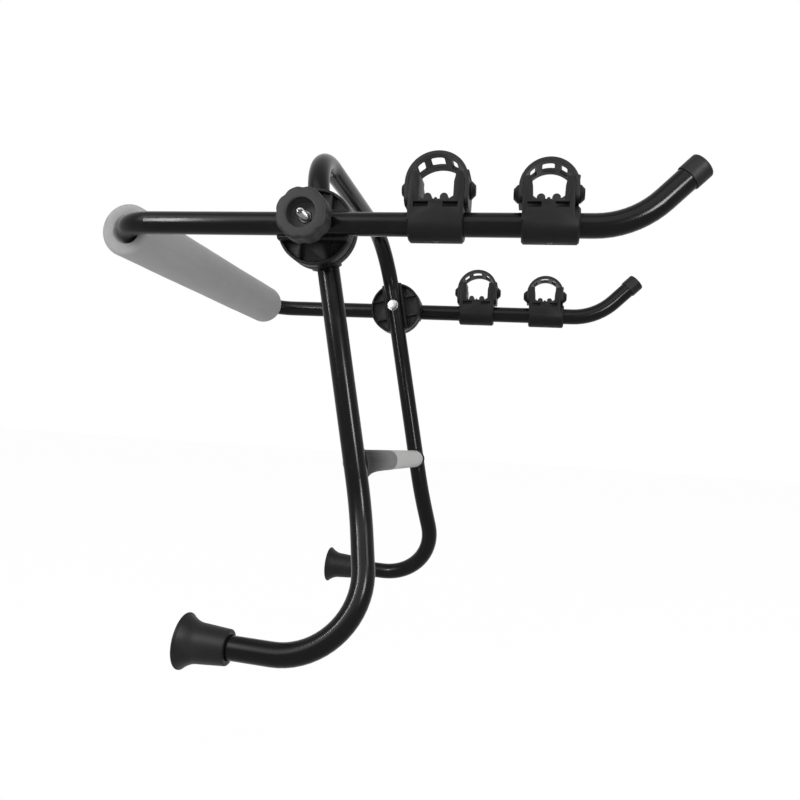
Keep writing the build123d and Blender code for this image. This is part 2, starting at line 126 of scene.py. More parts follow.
class Signal:
    """A number that varies over a surface, carried by a socket, with arithmetic."""

    def __init__(self, graph: "Graph", socket: bpy.types.NodeSocket) -> None:
        """Wraps a socket.

        Args:
            graph: the node graph that holds the socket.
            socket: the output that carries the number.
        """
        self.graph = graph
        self.socket = socket

    def _with(self, operation: str, first: "Signal | Number", second: "Signal | Number") -> "Signal":
        """Adds one Math node.

        Args:
            operation: the node's operation.
            first: left-hand value.
            second: right-hand value.

        Returns:
            The node's result.
        """
        return self.graph.value("ShaderNodeMath", {"operation": operation}, {0: first, 1: second})

    def __add__(self, other: "Signal | Number") -> "Signal":
        """self + other."""
        return self._with("ADD", self, other)

    def __radd__(self, other: Number) -> "Signal":
        """other + self."""
        return self._with("ADD", other, self)

    def __sub__(self, other: "Signal | Number") -> "Signal":
        """self - other."""
        return self._with("SUBTRACT", self, other)

    def __rsub__(self, other: Number) -> "Signal":
        """other - self."""
        return self._with("SUBTRACT", other, self)

    def __mul__(self, other: "Signal | Number") -> "Signal":
        """self * other."""
        return self._with("MULTIPLY", self, other)

    def __rmul__(self, other: Number) -> "Signal":
        """other * self."""
        return self._with("MULTIPLY", other, self)

    def __pow__(self, other: "Signal | Number") -> "Signal":
        """self ** other."""
        return self._with("POWER", self, other)

    def ramp(self, low: float, high: float) -> "Signal":
        """Smooth step of the number.

        Args:
            low: the number that gives 0.
            high: the number that gives 1.

        Returns:
            A number from 0 to 1.
        """
        settings = {"interpolation_type": "SMOOTHSTEP"}
        sockets = {"Value": self, "From Min": low, "From Max": high}
        return self.graph.value("ShaderNodeMapRange", settings, sockets)


Source = Union[Signal, bpy.types.NodeSocket, Number, Sequence[float]]
Settings = dict[str, object]
Sockets = dict[Union[str, int], Source]


class Graph:
    """The node graph of one material, or of the world, while it is built."""

    def __init__(self, name: str, owner: "bpy.types.Material | bpy.types.World | None" = None) -> None:
        """Starts an empty graph.

        Args:
            name: the name of a new material.
            owner: what holds the graph, where that isn't a new material.
        """
        self.material = owner or bpy.data.materials.new(name)
        self.material.use_nodes = True
        self.tree = self.material.node_tree
        self.tree.nodes.clear()

    def node(self, kind: str, settings: Settings, sockets: Sockets) -> bpy.types.Node:
        """Adds a node.

        Args:
            kind: the node's type.
            settings: its own settings, set before its sockets.
            sockets: the value or link of each socket that isn't left at its default.

        Returns:
            The node.
        """
        made = self.tree.nodes.new(kind)
        for key, value in settings.items():
            setattr(made, key, value)
        for key, value in sockets.items():
            socket = made.inputs[key]
            if isinstance(value, Signal):
                value = value.socket
            if isinstance(value, bpy.types.NodeSocket):
                self.tree.links.new(value, socket)
            else:
                socket.default_value = value
        return made

    def value(self, kind: str, settings: Settings, sockets: Sockets, output: str = "") -> Signal:
        """Adds a node and takes one of its numbers.

        Args:
            kind: the node's type.
            settings: its own settings.
            sockets: its sockets' values or links.
            output: the output's name, or nothing for the first.

        Returns:
            The number.
        """
        made = self.node(kind, settings, sockets)
        return Signal(self, made.outputs[output] if output else made.outputs[0])

    def place(self) -> bpy.types.NodeSocket:
        """The point of the surface, in metres."""
        return self.node("ShaderNodeTexCoord", {}, {}).outputs["Object"]

    def stretched(self, scale: Triple) -> bpy.types.NodeSocket:
        """The point of the surface, stretched along the axes.

        Args:
            scale: the factor along X, Y and Z.

        Returns:
            The stretched point.
        """
        return self.node("ShaderNodeMapping", {}, {"Vector": self.place(), "Scale": scale}).outputs[0]

    def height(self, axis: str) -> Signal:
        """The point's coordinate along an axis, in metres.

        Args:
            axis: X, Y or Z.

        Returns:
            The coordinate.
        """
        return self.value("ShaderNodeSeparateXYZ", {}, {"Vector": self.place()}, axis)

    def cloud(
        self,
        per_metre: float,
        detail: float = 3.0,
        rough: float = 0.5,
        at: "bpy.types.NodeSocket | None" = None,
    ) -> Signal:
        """Noise over the surface.

        Args:
            per_metre: how fine the noise is.
            detail: how many finer layers it has.
            rough: how strong those layers are.
            at: the point it is read at, or the surface's own point.

        Returns:
            A number about 0.5.
        """
        sockets = {"Vector": at or self.place(), "Scale": per_metre, "Detail": detail, "Roughness": rough}
        return self.value("ShaderNodeTexNoise", {}, sockets)

    def cells(self, per_metre: float, feature: str = "F1") -> Signal:
        """Distance to the nearest of many scattered points.

        Args:
            per_metre: how fine the cells are.
            feature: which distance is taken.

        Returns:
            The distance, in cells.
        """
        sockets = {"Vector": self.place(), "Scale": per_metre}
        return self.value("ShaderNodeTexVoronoi", {"feature": feature}, sockets, "Distance")

    def edge_wear(self, reach: float) -> Signal:
        """How sharp the surface's edges are, from the angle between rounded and true normals.

        Args:
            reach: the width of an edge, in metres.

        Returns:
            0 on flat ground, up to 1 on an edge.
        """
        rounded = self.node("ShaderNodeBevel", {"samples": 4}, {"Radius": reach}).outputs[0]
        true = self.node("ShaderNodeNewGeometry", {}, {}).outputs["Normal"]
        dot = {"operation": "DOT_PRODUCT"}
        turn = self.value("ShaderNodeVectorMath", dot, {0: rounded, 1: true}, "Value")
        flat, sharp = 0.01, 0.16
        return (1 - turn).ramp(flat, sharp)

    def blend(self, factor: Source, first: Source, second: Source) -> bpy.types.NodeSocket:
        """Mixes two colours.

        Args:
            factor: 0 for the first, 1 for the second.
            first: a colour.
            second: a colour.

        Returns:
            The mixed colour.
        """
        mixed = self.node("ShaderNodeMix", {"data_type": "RGBA"}, {"Factor": factor, 6: first, 7: second})
        return mixed.outputs[2]

    def shown(self) -> Signal:
        """Whether the camera, a reflection or a clear part looks straight at the surface.

        Returns:
            1 where one does, else 0.
        """
        path = self.node("ShaderNodeLightPath", {}, {})
        rays = [Signal(self, path.outputs[f"Is {kind} Ray"]) for kind in ("Camera", "Glossy", "Transmission")]
        seen = rays[0] + rays[1] + rays[2]
        return self.value("ShaderNodeMath", {"operation": "MINIMUM"}, {0: seen, 1: 1.0})

    def relief(self, height: Signal, depth: float, strength: float) -> bpy.types.NodeSocket:
        """Surface relief.

        Args:
            height: the relief's height, from 0 to 1.
            depth: the height of 1, in metres.
            strength: how much of it shows.

        Returns:
            The bumped normal.
        """
        sockets = {"Height": height, "Distance": depth, "Strength": strength}
        return self.node("ShaderNodeBump", {}, sockets).outputs[0]

    def close(self, sockets: Sockets) -> bpy.types.Material:
        """Ends the graph with its surface shader.

        Args:
            sockets: the shader's sockets.

        Returns:
            The finished material.
        """
        shader = self.node("ShaderNodeBsdfPrincipled", {}, sockets)
        self.node("ShaderNodeOutputMaterial", {}, {"Surface": shader.outputs[0]})
        return self.material


def grey(level: float, warmth: float = 0.0) -> tuple[float, float, float, float]:
    """A near-neutral colour.

    Args:
        level: its linear brightness.
        warmth: how far red rises and blue falls, as a share.

    Returns:
        Red, green, blue and alpha.
    """
    return (level * (1 + warmth), level, level * (1 - warmth), 1.0)


# Finishes
# In each, level is its linear brightness, rough its least roughness and mirror its specular level.


@dataclass(frozen=True)
class PowderCoat:
    """Black gloss powder coat on steel tube: orange peel, dust and a few rubbed marks."""

    level: float = 0.004
    dusty: float = 2.6
    rough: float = 0.19
    mirror: float = 0.1
    scratch_stretch: Triple = (0.08, 0.08, 1.0)
    peel_depth: float = 0.02 * MM
    slot: str = "frame_paint"

    def material(self) -> bpy.types.Material:
        """Builds the finish.

        Returns:
            The material.
        """
        graph = Graph("gloss_black_powder_coat")
        peel = graph.cloud(300, detail=1.0)
        # Dust lies in paler, rougher patches.
        dust = graph.cloud(34, detail=5.0, rough=0.62).ramp(0.5, 0.78)
        patches = graph.cloud(9).ramp(0.52, 0.7)
        scratches = graph.cloud(900, detail=1.0, at=graph.stretched(self.scratch_stretch)).ramp(0.6, 0.72)
        rubbed = patches * scratches
        pale = grey(self.level * self.dusty, 0.02)
        colour = graph.blend(dust * 0.5 + rubbed * 0.35, grey(self.level), pale)
        return graph.close(
            {
                "Base Color": colour,
                "Roughness": self.rough + dust * 0.07 + rubbed * 0.1,
                "Specular IOR Level": self.mirror,
                "Normal": graph.relief(peel, self.peel_depth, strength=0.18),
            }
        )


@dataclass(frozen=True)
class SilverBrace:
    """Silver paint on the brace, with painted shade that darkens its left end towards the leg, and a darker,
    less metallic left half that ends in a sharp line.
    """

    level: float = 0.47
    # The left half of the brace is darker and less metallic, up to a sharp line.
    masked_level: float = 0.1
    # Painted shade: the next three values darken the left end towards the leg.
    spray_level: float = 0.008
    spray_from: float = -176 * MM
    spray_to: float = -46 * MM
    mask_line: float = -20 * MM
    mask_edge: float = 1.5 * MM
    wander: float = 6 * MM
    metal: float = 0.2
    rough: float = 0.42
    mirror: float = 0.03
    grain_depth: float = 0.05 * MM
    slot: str = "brace_paint"

    def material(self) -> bpy.types.Material:
        """Builds the finish.

        Returns:
            The material.
        """
        graph = Graph("silver_brace_paint")
        along = graph.height("Y")
        wander = (graph.cloud(60, detail=2.0) - 0.5) * self.wander
        # Painted shade: darker towards the left end, by the leg.
        painted_shade = 1 - (along + wander).ramp(self.spray_from, self.spray_to)
        # Darker, less metallic left half, with a sharp edge.
        dark_half = 1 - (along + wander * 0.3).ramp(self.mask_line, self.mask_line + self.mask_edge)
        fleck = graph.cells(2600).ramp(0.1, 0.7)
        paint = graph.blend(fleck * 0.35, grey(self.level, 0.01), grey(self.level * 0.78))
        dull = graph.blend(dark_half * 0.8, paint, grey(self.masked_level))
        # The painted shade is laid over the paint last.
        colour = graph.blend(painted_shade, dull, grey(self.spray_level))
        return graph.close(
            {
                "Base Color": colour,
                "Metallic": self.metal * (1 - dark_half),
                "Roughness": self.rough + graph.cloud(45, detail=4.0) * 0.16,
                "Specular IOR Level": self.mirror,
                "Normal": graph.relief(graph.cloud(700, detail=2.0), self.grain_depth, strength=0.4),
            }
        )


@dataclass(frozen=True)
class MouldedNylon:
    """Black moulded plastic with a fine spark-eroded grain, paler where edges are rubbed."""

    name: str = "black_moulded_nylon"
    level: float = 0.006
    gloss: float = 0.42
    mirror: float = 0.1
    grain: float = 1500.0
    grain_depth: float = 0.05 * MM
    worn_edge: float = 0.9 * MM
    slot: str = "moulding"

    def dust(self, graph: Graph) -> Source:
        """How much paler the piece is painted in its hollows, from 0 to 1.

        Args:
            graph: the finish's graph.

        Returns:
            The paling, none on a plain moulding.
        """
        return 0.0

    def material(self) -> bpy.types.Material:
        """Builds the finish.

        Returns:
            The material.
        """
        graph = Graph(self.name)
        grain = graph.cloud(self.grain, rough=0.6)
        flow = graph.cloud(26, detail=4.0, rough=0.55).ramp(0.35, 0.75)
        worn = graph.edge_wear(self.worn_edge) * graph.cloud(160).ramp(0.38, 0.62)
        colour = graph.blend(flow * 0.4, grey(self.level), grey(self.level * 1.5, 0.01))
        rubbed = graph.blend(worn * 0.5, colour, grey(self.level * 3.2))
        return graph.close(
            {
                # Painted light pales the knob's recess here; a plain moulding has none.
                "Base Color": graph.blend(self.dust(graph), rubbed, grey(self.level * 3.4)),
                "Roughness": self.gloss + flow * 0.09 - worn * 0.08,
                "Specular IOR Level": self.mirror,
                "Normal": graph.relief(grain, self.grain_depth, strength=0.45),
            }
        )


@dataclass(frozen=True)
class KnobPlastic(MouldedNylon):
    """Dark grey plastic of the hand knobs, with painted light that pales the recess round the bolt."""

    name: str = "dark_grey_knob_plastic"
    level: float = 0.019
    gloss: float = 0.5
    mirror: float = 0.14
    grain: float = 1100.0
    slot: str = "knob_plastic"
    recess: float = 15.3 * MM
    recess_lip: float = 1.2 * MM
    recess_depth: float = 13 * MM
    knob_face: float = 288 * MM

    def dust(self, graph: Graph) -> Source:
        """How much painted light pales the recess, more towards its floor.

        Args:
            graph: the finish's graph.

        Returns:
            The painted light, from 0 to 1.
        """
        # Painted light: paler inside the recess, more towards its floor.
        off_axis = (graph.height("X") ** 2 + graph.height("Z") ** 2) ** 0.5
        outward = graph.value("ShaderNodeMath", {"operation": "ABSOLUTE"}, {0: graph.height("Y")})
        inside = 1 - off_axis.ramp(self.recess - 0.2 * MM, self.recess + self.recess_lip)
        return inside * (self.knob_face - outward).ramp(1 * MM, self.recess_depth)


@dataclass(frozen=True)
class SoftRubber:
    """Black rubber, matt and slightly chalky, with mould texture."""

    name: str = "black_rubber"
    level: float = 0.009
    bloom: float = 0.02
    rough: float = 0.44
    mirror: float = 0.13
    worn_edge: float = 1.2 * MM
    grain_depth: float = 0.04 * MM
    slot: str = "rubber"

    def material(self) -> bpy.types.Material:
        """Builds the finish.

        Returns:
            The material.
        """
        graph = Graph(self.name)
        bloom = graph.cloud(40, detail=6.0, rough=0.65).ramp(0.42, 0.8)
        scuff = graph.edge_wear(self.worn_edge)
        colour = graph.blend(bloom * 0.45, grey(self.level), grey(self.bloom, 0.02))
        return graph.close(
            {
                "Base Color": graph.blend(scuff * 0.3, colour, grey(self.bloom * 1.4)),
                "Roughness": self.rough + bloom * 0.2,
                "Specular IOR Level": self.mirror,
                "Normal": graph.relief(graph.cloud(900, rough=0.6), self.grain_depth, strength=0.45),
            }
        )


@dataclass(frozen=True)
class ClosedCellFoam:
    """Grey closed-cell foam: a skin of tiny cells, faint blotches and soft edges to the light."""

    level: float = 0.3
    rough: float = 0.84
    mirror: float = 0.25
    sheen: float = 0.12
    drag_stretch: Triple = (1.0, 0.12, 1.0)
    pit_depth: float = 0.22 * MM
    slot: str = "foam"

    def material(self) -> bpy.types.Material:
        """Builds the finish.

        Returns:
            The material.
        """
        graph = Graph("grey_closed_cell_foam")
        cells = graph.cells(1150)
        pits = graph.cells(420, "SMOOTH_F1").ramp(0.0, 0.5)
        blotch = graph.cloud(22, detail=4.0, rough=0.6)
        drag = graph.cloud(160, rough=0.6, at=graph.stretched(self.drag_stretch))
        shade = cells * 0.3 + (blotch - 0.5) * 0.35 + (drag - 0.5) * 0.22
        colour = graph.blend(shade.ramp(-0.1, 0.45), grey(self.level * 0.9), grey(self.level * 1.12, 0.004))
        height = cells * 0.5 + pits * 0.5
        return graph.close(
            {
                "Base Color": colour,
                "Roughness": self.rough + blotch * 0.1,
                "Specular IOR Level": self.mirror,
                "Sheen Weight": self.sheen,
                "Sheen Roughness": 0.5,
                "Normal": graph.relief(height, self.pit_depth, strength=0.65),
            }
        )


@dataclass(frozen=True)
class ZincPlate:
    """Zinc plate: bright on the bolts and washers, black on the nuts and screws."""

    name: str = "bright_zinc_plate"
    bright: float = 0.29
    dull: float = 0.2
    rough: float = 0.24
    grain_depth: float = 0.03 * MM
    slot: str = "zinc"

    def material(self) -> bpy.types.Material:
        """Builds the finish.

        Returns:
            The material.
        """
        graph = Graph(self.name)
        spangle = graph.cells(900).ramp(0.1, 0.8)
        smear = graph.cloud(300, detail=4.0, rough=0.6)
        colour = graph.blend(spangle * 0.4, grey(self.bright), grey(self.dull, 0.02))
        return graph.close(
            {
                "Base Color": colour,
                "Metallic": 1.0,
                "Roughness": self.rough + smear * 0.18,
                "Normal": graph.relief(graph.cloud(1400, detail=2.0), self.grain_depth, strength=0.35),
            }
        )


Finish = Union[PowderCoat, SilverBrace, MouldedNylon, KnobPlastic, SoftRubber, ClosedCellFoam, ZincPlate]


class Finishes:
    """The carrier's finishes, each made once."""

    def __init__(self) -> None:
        """Builds every material."""
        self.coat = PowderCoat()
        self.brace = SilverBrace()
        self.moulding = MouldedNylon()
        self.knob = KnobPlastic()
        self.rubber = SoftRubber()
        self.strap = SoftRubber("black_strap_rubber", bloom=0.017)
        self.foam = ClosedCellFoam()
        self.zinc = ZincPlate()
        self.black_zinc = ZincPlate("black_zinc_plate", bright=0.07, dull=0.045)
        self._made = {kind: kind.material() for kind in vars(self).values()}

    def dress(self, piece: bpy.types.Object, kind: Finish) -> None:
        """Gives a piece its finish.

        Args:
            piece: the piece or solid-model node.
            kind: its finish.
        """
        piece.data.materials.clear()
        piece.data.materials.append(self._made[kind])


# Modelling helpers


def pick(piece: bpy.types.Object) -> None:
    """Selects one object alone and makes it active.

    Args:
        piece: the object.
    """
    bpy.ops.object.select_all(action="DESELECT")
    piece.select_set(True)
    bpy.context.view_layer.objects.active = piece


@contextmanager
def editing(piece: bpy.types.Object) -> Iterator[bmesh.types.BMesh]:
    """Edit mode on one object, with nothing selected in it.

    Args:
        piece: the object.

    Yields:
        Its mesh while it is edited.
    """
    pick(piece)
    bpy.ops.object.mode_set(mode="EDIT")
    bpy.ops.mesh.select_mode(type="VERT")
    bpy.ops.mesh.select_all(action="DESELECT")
    yield bmesh.from_edit_mesh(piece.data)
    bpy.ops.object.mode_set(mode="OBJECT")


def modify(piece: bpy.types.Object, kind: str, **settings: object) -> None:
    """Adds a modifier and applies it.

    Args:
        piece: the object.
        kind: the modifier's type.
        settings: the modifier's settings.
    """
    pick(piece)
    modifier = piece.modifiers.new(kind.lower(), kind)
    for key, value in settings.items():
        setattr(modifier, key, value)
    bpy.ops.object.modifier_apply(modifier=modifier.name)


def smooth(piece: bpy.types.Object, shade: Shade) -> None:
    """Shades a piece smooth, apart from its sharp edges.

    Args:
        piece: the object.
        shade: which of its edges stay sharp.
    """
    pick(piece)
    bpy.ops.object.shade_smooth_by_angle(angle=math.radians(shade.value))


def merge(piece: bpy.types.Object) -> None:
    """Merges the points of a piece that lie on each other.

    Args:
        piece: the object.
    """
    with editing(piece):
        bpy.ops.mesh.select_all(action="SELECT")
        bpy.ops.mesh.remove_doubles(threshold=MERGE_WITHIN)


def face_outwards(piece: bpy.types.Object) -> None:
    """Turns the faces of a closed piece outwards.

    Args:
        piece: the object.
    """
    with editing(piece):
        bpy.ops.mesh.select_all(action="SELECT")
        bpy.ops.mesh.normals_make_consistent(inside=False)


def added(primitive: Callable[..., object], name: str, **settings: object) -> bpy.types.Object:
    """Adds a primitive, selected alone.

    Args:
        primitive: the operator that adds it.
        name: its name.
        settings: the operator's settings.

    Returns:
        The new object.
    """
    bpy.ops.object.select_all(action="DESELECT")
    primitive(**settings)
    bpy.context.object.name = name
    return bpy.context.object


def soften(piece: bpy.types.Object, width: float, segments: int = 3, shade: Shade = Shade.CRISP) -> None:
    """Rounds the piece's sharp edges and shades it.

    Args:
        piece: the object.
        width: the rounding's width, in metres.
        segments: how many faces cross the rounding.
        shade: how the mesh is shaded.
    """
    modify(piece, "BEVEL", width=width, segments=segments, limit_method="ANGLE", angle_limit=BEVEL_FROM)
    smooth(piece, shade)


def seat(piece: bpy.types.Object, place: Matrix) -> None:
    """Moves a piece's mesh to its place and leaves the object at the origin.

    Args:
        piece: the object.
        place: where the piece's own frame lies.
    """
    piece.data.transform(piece.matrix_world)
    piece.matrix_world = Matrix.Identity(4)
    piece.data.transform(place)
    piece.data.update()


def placed(
    origin: Sequence[float],
    along: Sequence[float],
    across: Sequence[float] = (1.0, 0.0, 0.0),
) -> Matrix:
    """The frame with its Z along a direction.

    Args:
        origin: the frame's origin.
        along: where its Z points.
        across: a direction that its X leans to.

    Returns:
        The frame.
    """
    z = Vector(along).normalized()
    x = Vector(across)
    x = (x - z * x.dot(z)).normalized()
    frame = Matrix((x, z.cross(x), z)).transposed().to_4x4()
    frame.translation = Vector(origin)
    return frame


def copied(piece: bpy.types.Object, name: str, place: "Matrix | None" = None) -> bpy.types.Object:
    """A copy with its own mesh.

    Args:
        piece: what is copied.
        name: the copy's name.
        place: a move of the copy's mesh.

    Returns:
        The copy.
    """
    twin = bpy.data.objects.new(name, piece.data.copy())
    bpy.context.scene.collection.objects.link(twin)
    if place is not None:
        twin.data.transform(place)
    return twin


def joined(pieces: Sequence[bpy.types.Object], name: str) -> bpy.types.Object:
    """Several pieces as one.

    Args:
        pieces: the pieces.
        name: the name of the whole.

    Returns:
        The whole.
    """
    pick(pieces[0])
    for piece in pieces[1:]:
        piece.select_set(True)
    bpy.ops.object.join()
    pieces[0].name = name
    return pieces[0]


@dataclass(frozen=True)
class Ring:
    """One ring of a turned piece: its height, and its radius or its outline by angle."""

    radius: Union[float, Outline]
    height: float

    def at(self, angle: float) -> Vector:
        """The ring's point at an angle in radians."""
        reach = self.radius(angle) if callable(self.radius) else self.radius
        return Vector((reach * math.cos(angle), reach * math.sin(angle), self.height))


def turned(name: str, rings: Sequence[Ring], sides: int = 64, hollow: bool = False) -> bpy.types.Object:
    """A piece drawn up ring by ring from a circle, about Z.

    Args:
        name: the piece's name.
        rings: its rings, going up the outside, or round from the outside to the hole.
        sides: how many points a ring has.
        hollow: whether the last ring closes on the first, round a hole, or both ends are capped.

    Returns:
        The piece.
    """
    piece = added(bpy.ops.mesh.primitive_circle_add, name, vertices=sides, radius=1.0, fill_type="NOTHING")
    angles = [FULL_TURN * step / sides for step in range(sides)]
    short_of_turn = FULL_TURN - 1e-6
    with editing(piece) as mesh:
        mesh.verts.ensure_lookup_table()
        ordered = sorted(mesh.verts, key=lambda v: math.atan2(v.co.y, v.co.x) % short_of_turn)
        for vertex, angle in zip(ordered, angles):
            vertex.co = rings[0].at(angle)
        bpy.ops.mesh.select_all(action="SELECT")
        for ring in rings[1:]:
            bpy.ops.mesh.extrude_region_move()
            mesh = bmesh.from_edit_mesh(piece.data)
            for vertex in mesh.verts:
                if vertex.select:
                    angle = math.atan2(vertex.co.y, vertex.co.x) % FULL_TURN
                    step = round(angle / FULL_TURN * sides) % sides
                    vertex.co = ring.at(angles[step])
            bmesh.update_edit_mesh(piece.data)
        mesh = bmesh.from_edit_mesh(piece.data)
        bpy.ops.mesh.select_mode(type="EDGE")
        for edge in mesh.edges:
            edge.select_set(edge.is_boundary)
        if hollow:
            bpy.ops.mesh.bridge_edge_loops()
        bpy.ops.mesh.select_all(action="SELECT")
        bpy.ops.mesh.fill_holes(sides=0)
        bpy.ops.mesh.normals_make_consistent(inside=False)
    return piece


def arc(centre: tuple[float, float], radius: float, start: float, stop: float, steps: int) -> list[Ring]:
    """Rings along an arc of a profile.

    Args:
        centre: the arc's centre, as radius and height.
        radius: the arc's radius.
        start: its first angle in degrees, from straight out, towards up.
        stop: its last angle in degrees.
        steps: how many spans it has.

    Returns:
        The rings.
    """
    angles = [math.radians(start + (stop - start) * step / steps) for step in range(steps + 1)]
    return [Ring(centre[0] + radius * math.cos(a), centre[1] + radius * math.sin(a)) for a in angles]


def hexagon(across: float, corner: float = math.inf) -> Outline:
    """The outline of a hexagon.

    Args:
        across: its width over two flats.
        corner: the radius that its corners are turned down to, where they are.

    Returns:
        The radius at an angle in radians.
    """
    sixth = math.pi / 3
    return lambda angle: min(corner, across / 2 / math.cos((angle + sixth / 2) % sixth - sixth / 2))


def eased(node: str, name: str, width: float) -> bpy.types.Object:
    """A copy of a solid-model node with its flat faces cleaned and its edges rounded.

    Args:
        node: the node.
        name: the new piece's name.
        width: the rounding's width, in metres.

    Returns:
        The piece.
    """
    piece = copied(bpy.data.objects[node], name)
    with editing(piece):
        bpy.ops.mesh.select_all(action="SELECT")
        bpy.ops.mesh.remove_doubles(threshold=MERGE_WITHIN)
        bpy.ops.mesh.dissolve_limited(angle_limit=FLAT_WITHIN)
    soften(piece, width, 2)
    return piece


# The carrier's sub-assemblies


@dataclass
class Assembly:
    """What every sub-assembly shares: finishes, the frames' sizes and how a piece is handed on."""

    finishes: Finishes
    tube_radius: float = 12.5 * MM
    arm_half: float = 248 * MM
    leg_half: float = 205 * MM

    def keep(self, piece: bpy.types.Object, kind: Finish, body: str, *nodes: str) -> None:
        """Dresses a piece, sets it on its body and lets it stand for its nodes.

        Args:
            piece: the piece, in its place.
            kind: its finish.
            body: the body it rides on.
            nodes: the solid-model nodes it stands for.
        """
        self.finishes.dress(piece, kind)
        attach(piece, body)
        if nodes:
            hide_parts(*nodes)
        log.info("%s: %s on %s", type(self).__name__, piece.name, body)


@dataclass
class TubeFrames(Assembly):
    """The two bent tube frames and the brace between the legs."""

    brace_height: float = -250 * MM
    brace_half_width: float = 12 * MM
    brace_half_height: float = 13.3 * MM
    flare_half_height: float = 17 * MM
    flare_length: float = 9 * MM
    leg_tilt: float = math.radians(12)
    bead_radius: float = 2.3 * MM
    ripples: int = 46
    ripple: float = 0.07
    swells: int = 5
    swell: float = 0.06
    lip_half_width: float = 11.6 * MM
    lip_half_height: float = 12.9 * MM
    lip_drop: float = 16 * MM
    lip_fade: float = 29 * MM
    lip_reach: float = 140 * MM
    lip_spans: int = 20

    @property
    def down(self) -> Vector:
        """The direction down along the legs."""
        return Vector((math.sin(self.leg_tilt), 0, -math.cos(self.leg_tilt)))

    @property
    def across(self) -> Vector:
        """The direction square to the legs and to the brace."""
        return Vector((math.cos(self.leg_tilt), 0, math.sin(self.leg_tilt)))

    @property
    def centre(self) -> Vector:
        """The middle of the brace."""
        return Vector((-self.brace_height * math.tan(self.leg_tilt), 0, self.brace_height))

    def bead(self, side: Side) -> bpy.types.Object:
        """Models the weld bead round one end of the brace, along the line where it meets the leg.

        Args:
            side: the leg that it meets.

        Returns:
            The bead.
        """
        torus, name = bpy.ops.mesh.primitive_torus_add, f"brace_weld_{side.word}"
        piece = added(torus, name, major_segments=230, minor_segments=10, major_radius=1.0, minor_radius=0.2)
        across, down, centre = self.across, self.down, self.centre
        height = self.flare_half_height if side is Side.LEFT else self.brace_half_height
        for vertex in piece.data.vertices:
            turn = math.atan2(vertex.co.y, vertex.co.x)
            lean = math.atan2(vertex.co.z, math.hypot(vertex.co.x, vertex.co.y) - 1.0)
            wide = self.brace_half_width * math.cos(turn)
            tall = height * math.sin(turn)
            reach = self.leg_half - math.sqrt(self.tube_radius**2 - wide**2)
            spread = across * (math.cos(turn) / self.brace_half_width) + down * (math.sin(turn) / height)
            ripple = self.ripple * math.sin(self.ripples * turn)
            size = self.bead_radius * (1 + ripple + self.swell * math.sin(self.swells * turn))
            path = centre + across * wide + down * tall + Vector((0, side.value * reach, 0))
            out = spread.normalized() * math.cos(lean) + Vector((0, side.value * math.sin(lean), 0))
            vertex.co = path + out * size
        face_outwards(piece)
        smooth(piece, Shade.ROUND)
        return piece

    def cross_brace(self) -> bpy.types.Object:
        """Copies the brace and draws in the flare at its right end.

        Returns:
            The brace.
        """
        piece = copied(bpy.data.objects["leg_brace"], "cross_brace")
        merge(piece)
        down, centre = self.down, self.centre
        flare_foot = self.leg_half - self.tube_radius
        for vertex in piece.data.vertices:
            share = min(1.0, max(0.0, 1 - (flare_foot - vertex.co.y) / self.flare_length))
            tall = self.brace_half_height + (self.flare_half_height - self.brace_half_height) * share
            drop = (vertex.co - centre).dot(down)
            vertex.co -= down * drop * (1 - self.brace_half_height / tall)
        smooth(piece, Shade.CRISP)
        return piece

    def lip(self) -> bpy.types.Object:
        """Models the lip under the left end of the brace, which runs down onto the leg in a long curve.

        Returns:
            The lip.
        """
        run = self.lip_reach - self.tube_radius
        shares = [(step / self.lip_spans) ** 1.4 for step in range(self.lip_spans + 1)]
        inside_leg = [3 * MM, 8 * MM]
        heights = inside_leg + [self.tube_radius + run * share for share in shares]
        piece = turned("brace_lip_left", [Ring(self.lip_outline(height), height) for height in heights], 72)
        smooth(piece, Shade.ROUND)
        seat(piece, placed(self.centre - Vector((0, self.leg_half, 0)), (0, 1, 0), self.across))
        return piece

    def lip_outline(self, height: float) -> Outline:
        """The outline of the lip, an oval that is deeper below the brace near the leg.

        Args:
            height: the distance from the leg's centreline.

        Returns:
            The radius at an angle in radians, with a quarter turn pointing down the leg.
        """
        drop = self.lip_drop * math.exp(-max(0.0, height - self.tube_radius) / self.lip_fade)

        def reach(angle: float) -> float:
            """The radius of the oval at an angle."""
            tall = self.lip_half_height + (drop if math.sin(angle) > 0 else 0.0)
            return 1 / math.hypot(math.cos(angle) / self.lip_half_width, math.sin(angle) / tall)

        return reach

    def build(self) -> None:
        """Dresses the tubes, and models the brace with its weld beads and its lip."""
        for side in Side:
            self.keep(self.bead(side), self.finishes.coat, "leg_frame")
        self.keep(self.lip(), self.finishes.brace, "leg_frame")
        self.keep(self.cross_brace(), self.finishes.brace, "leg_frame", "leg_brace")
        for node in ("arm_tube", "leg_tube"):
            self.finishes.dress(bpy.data.objects[node], self.finishes.coat)
            log.info("TubeFrames: %s dressed", node)


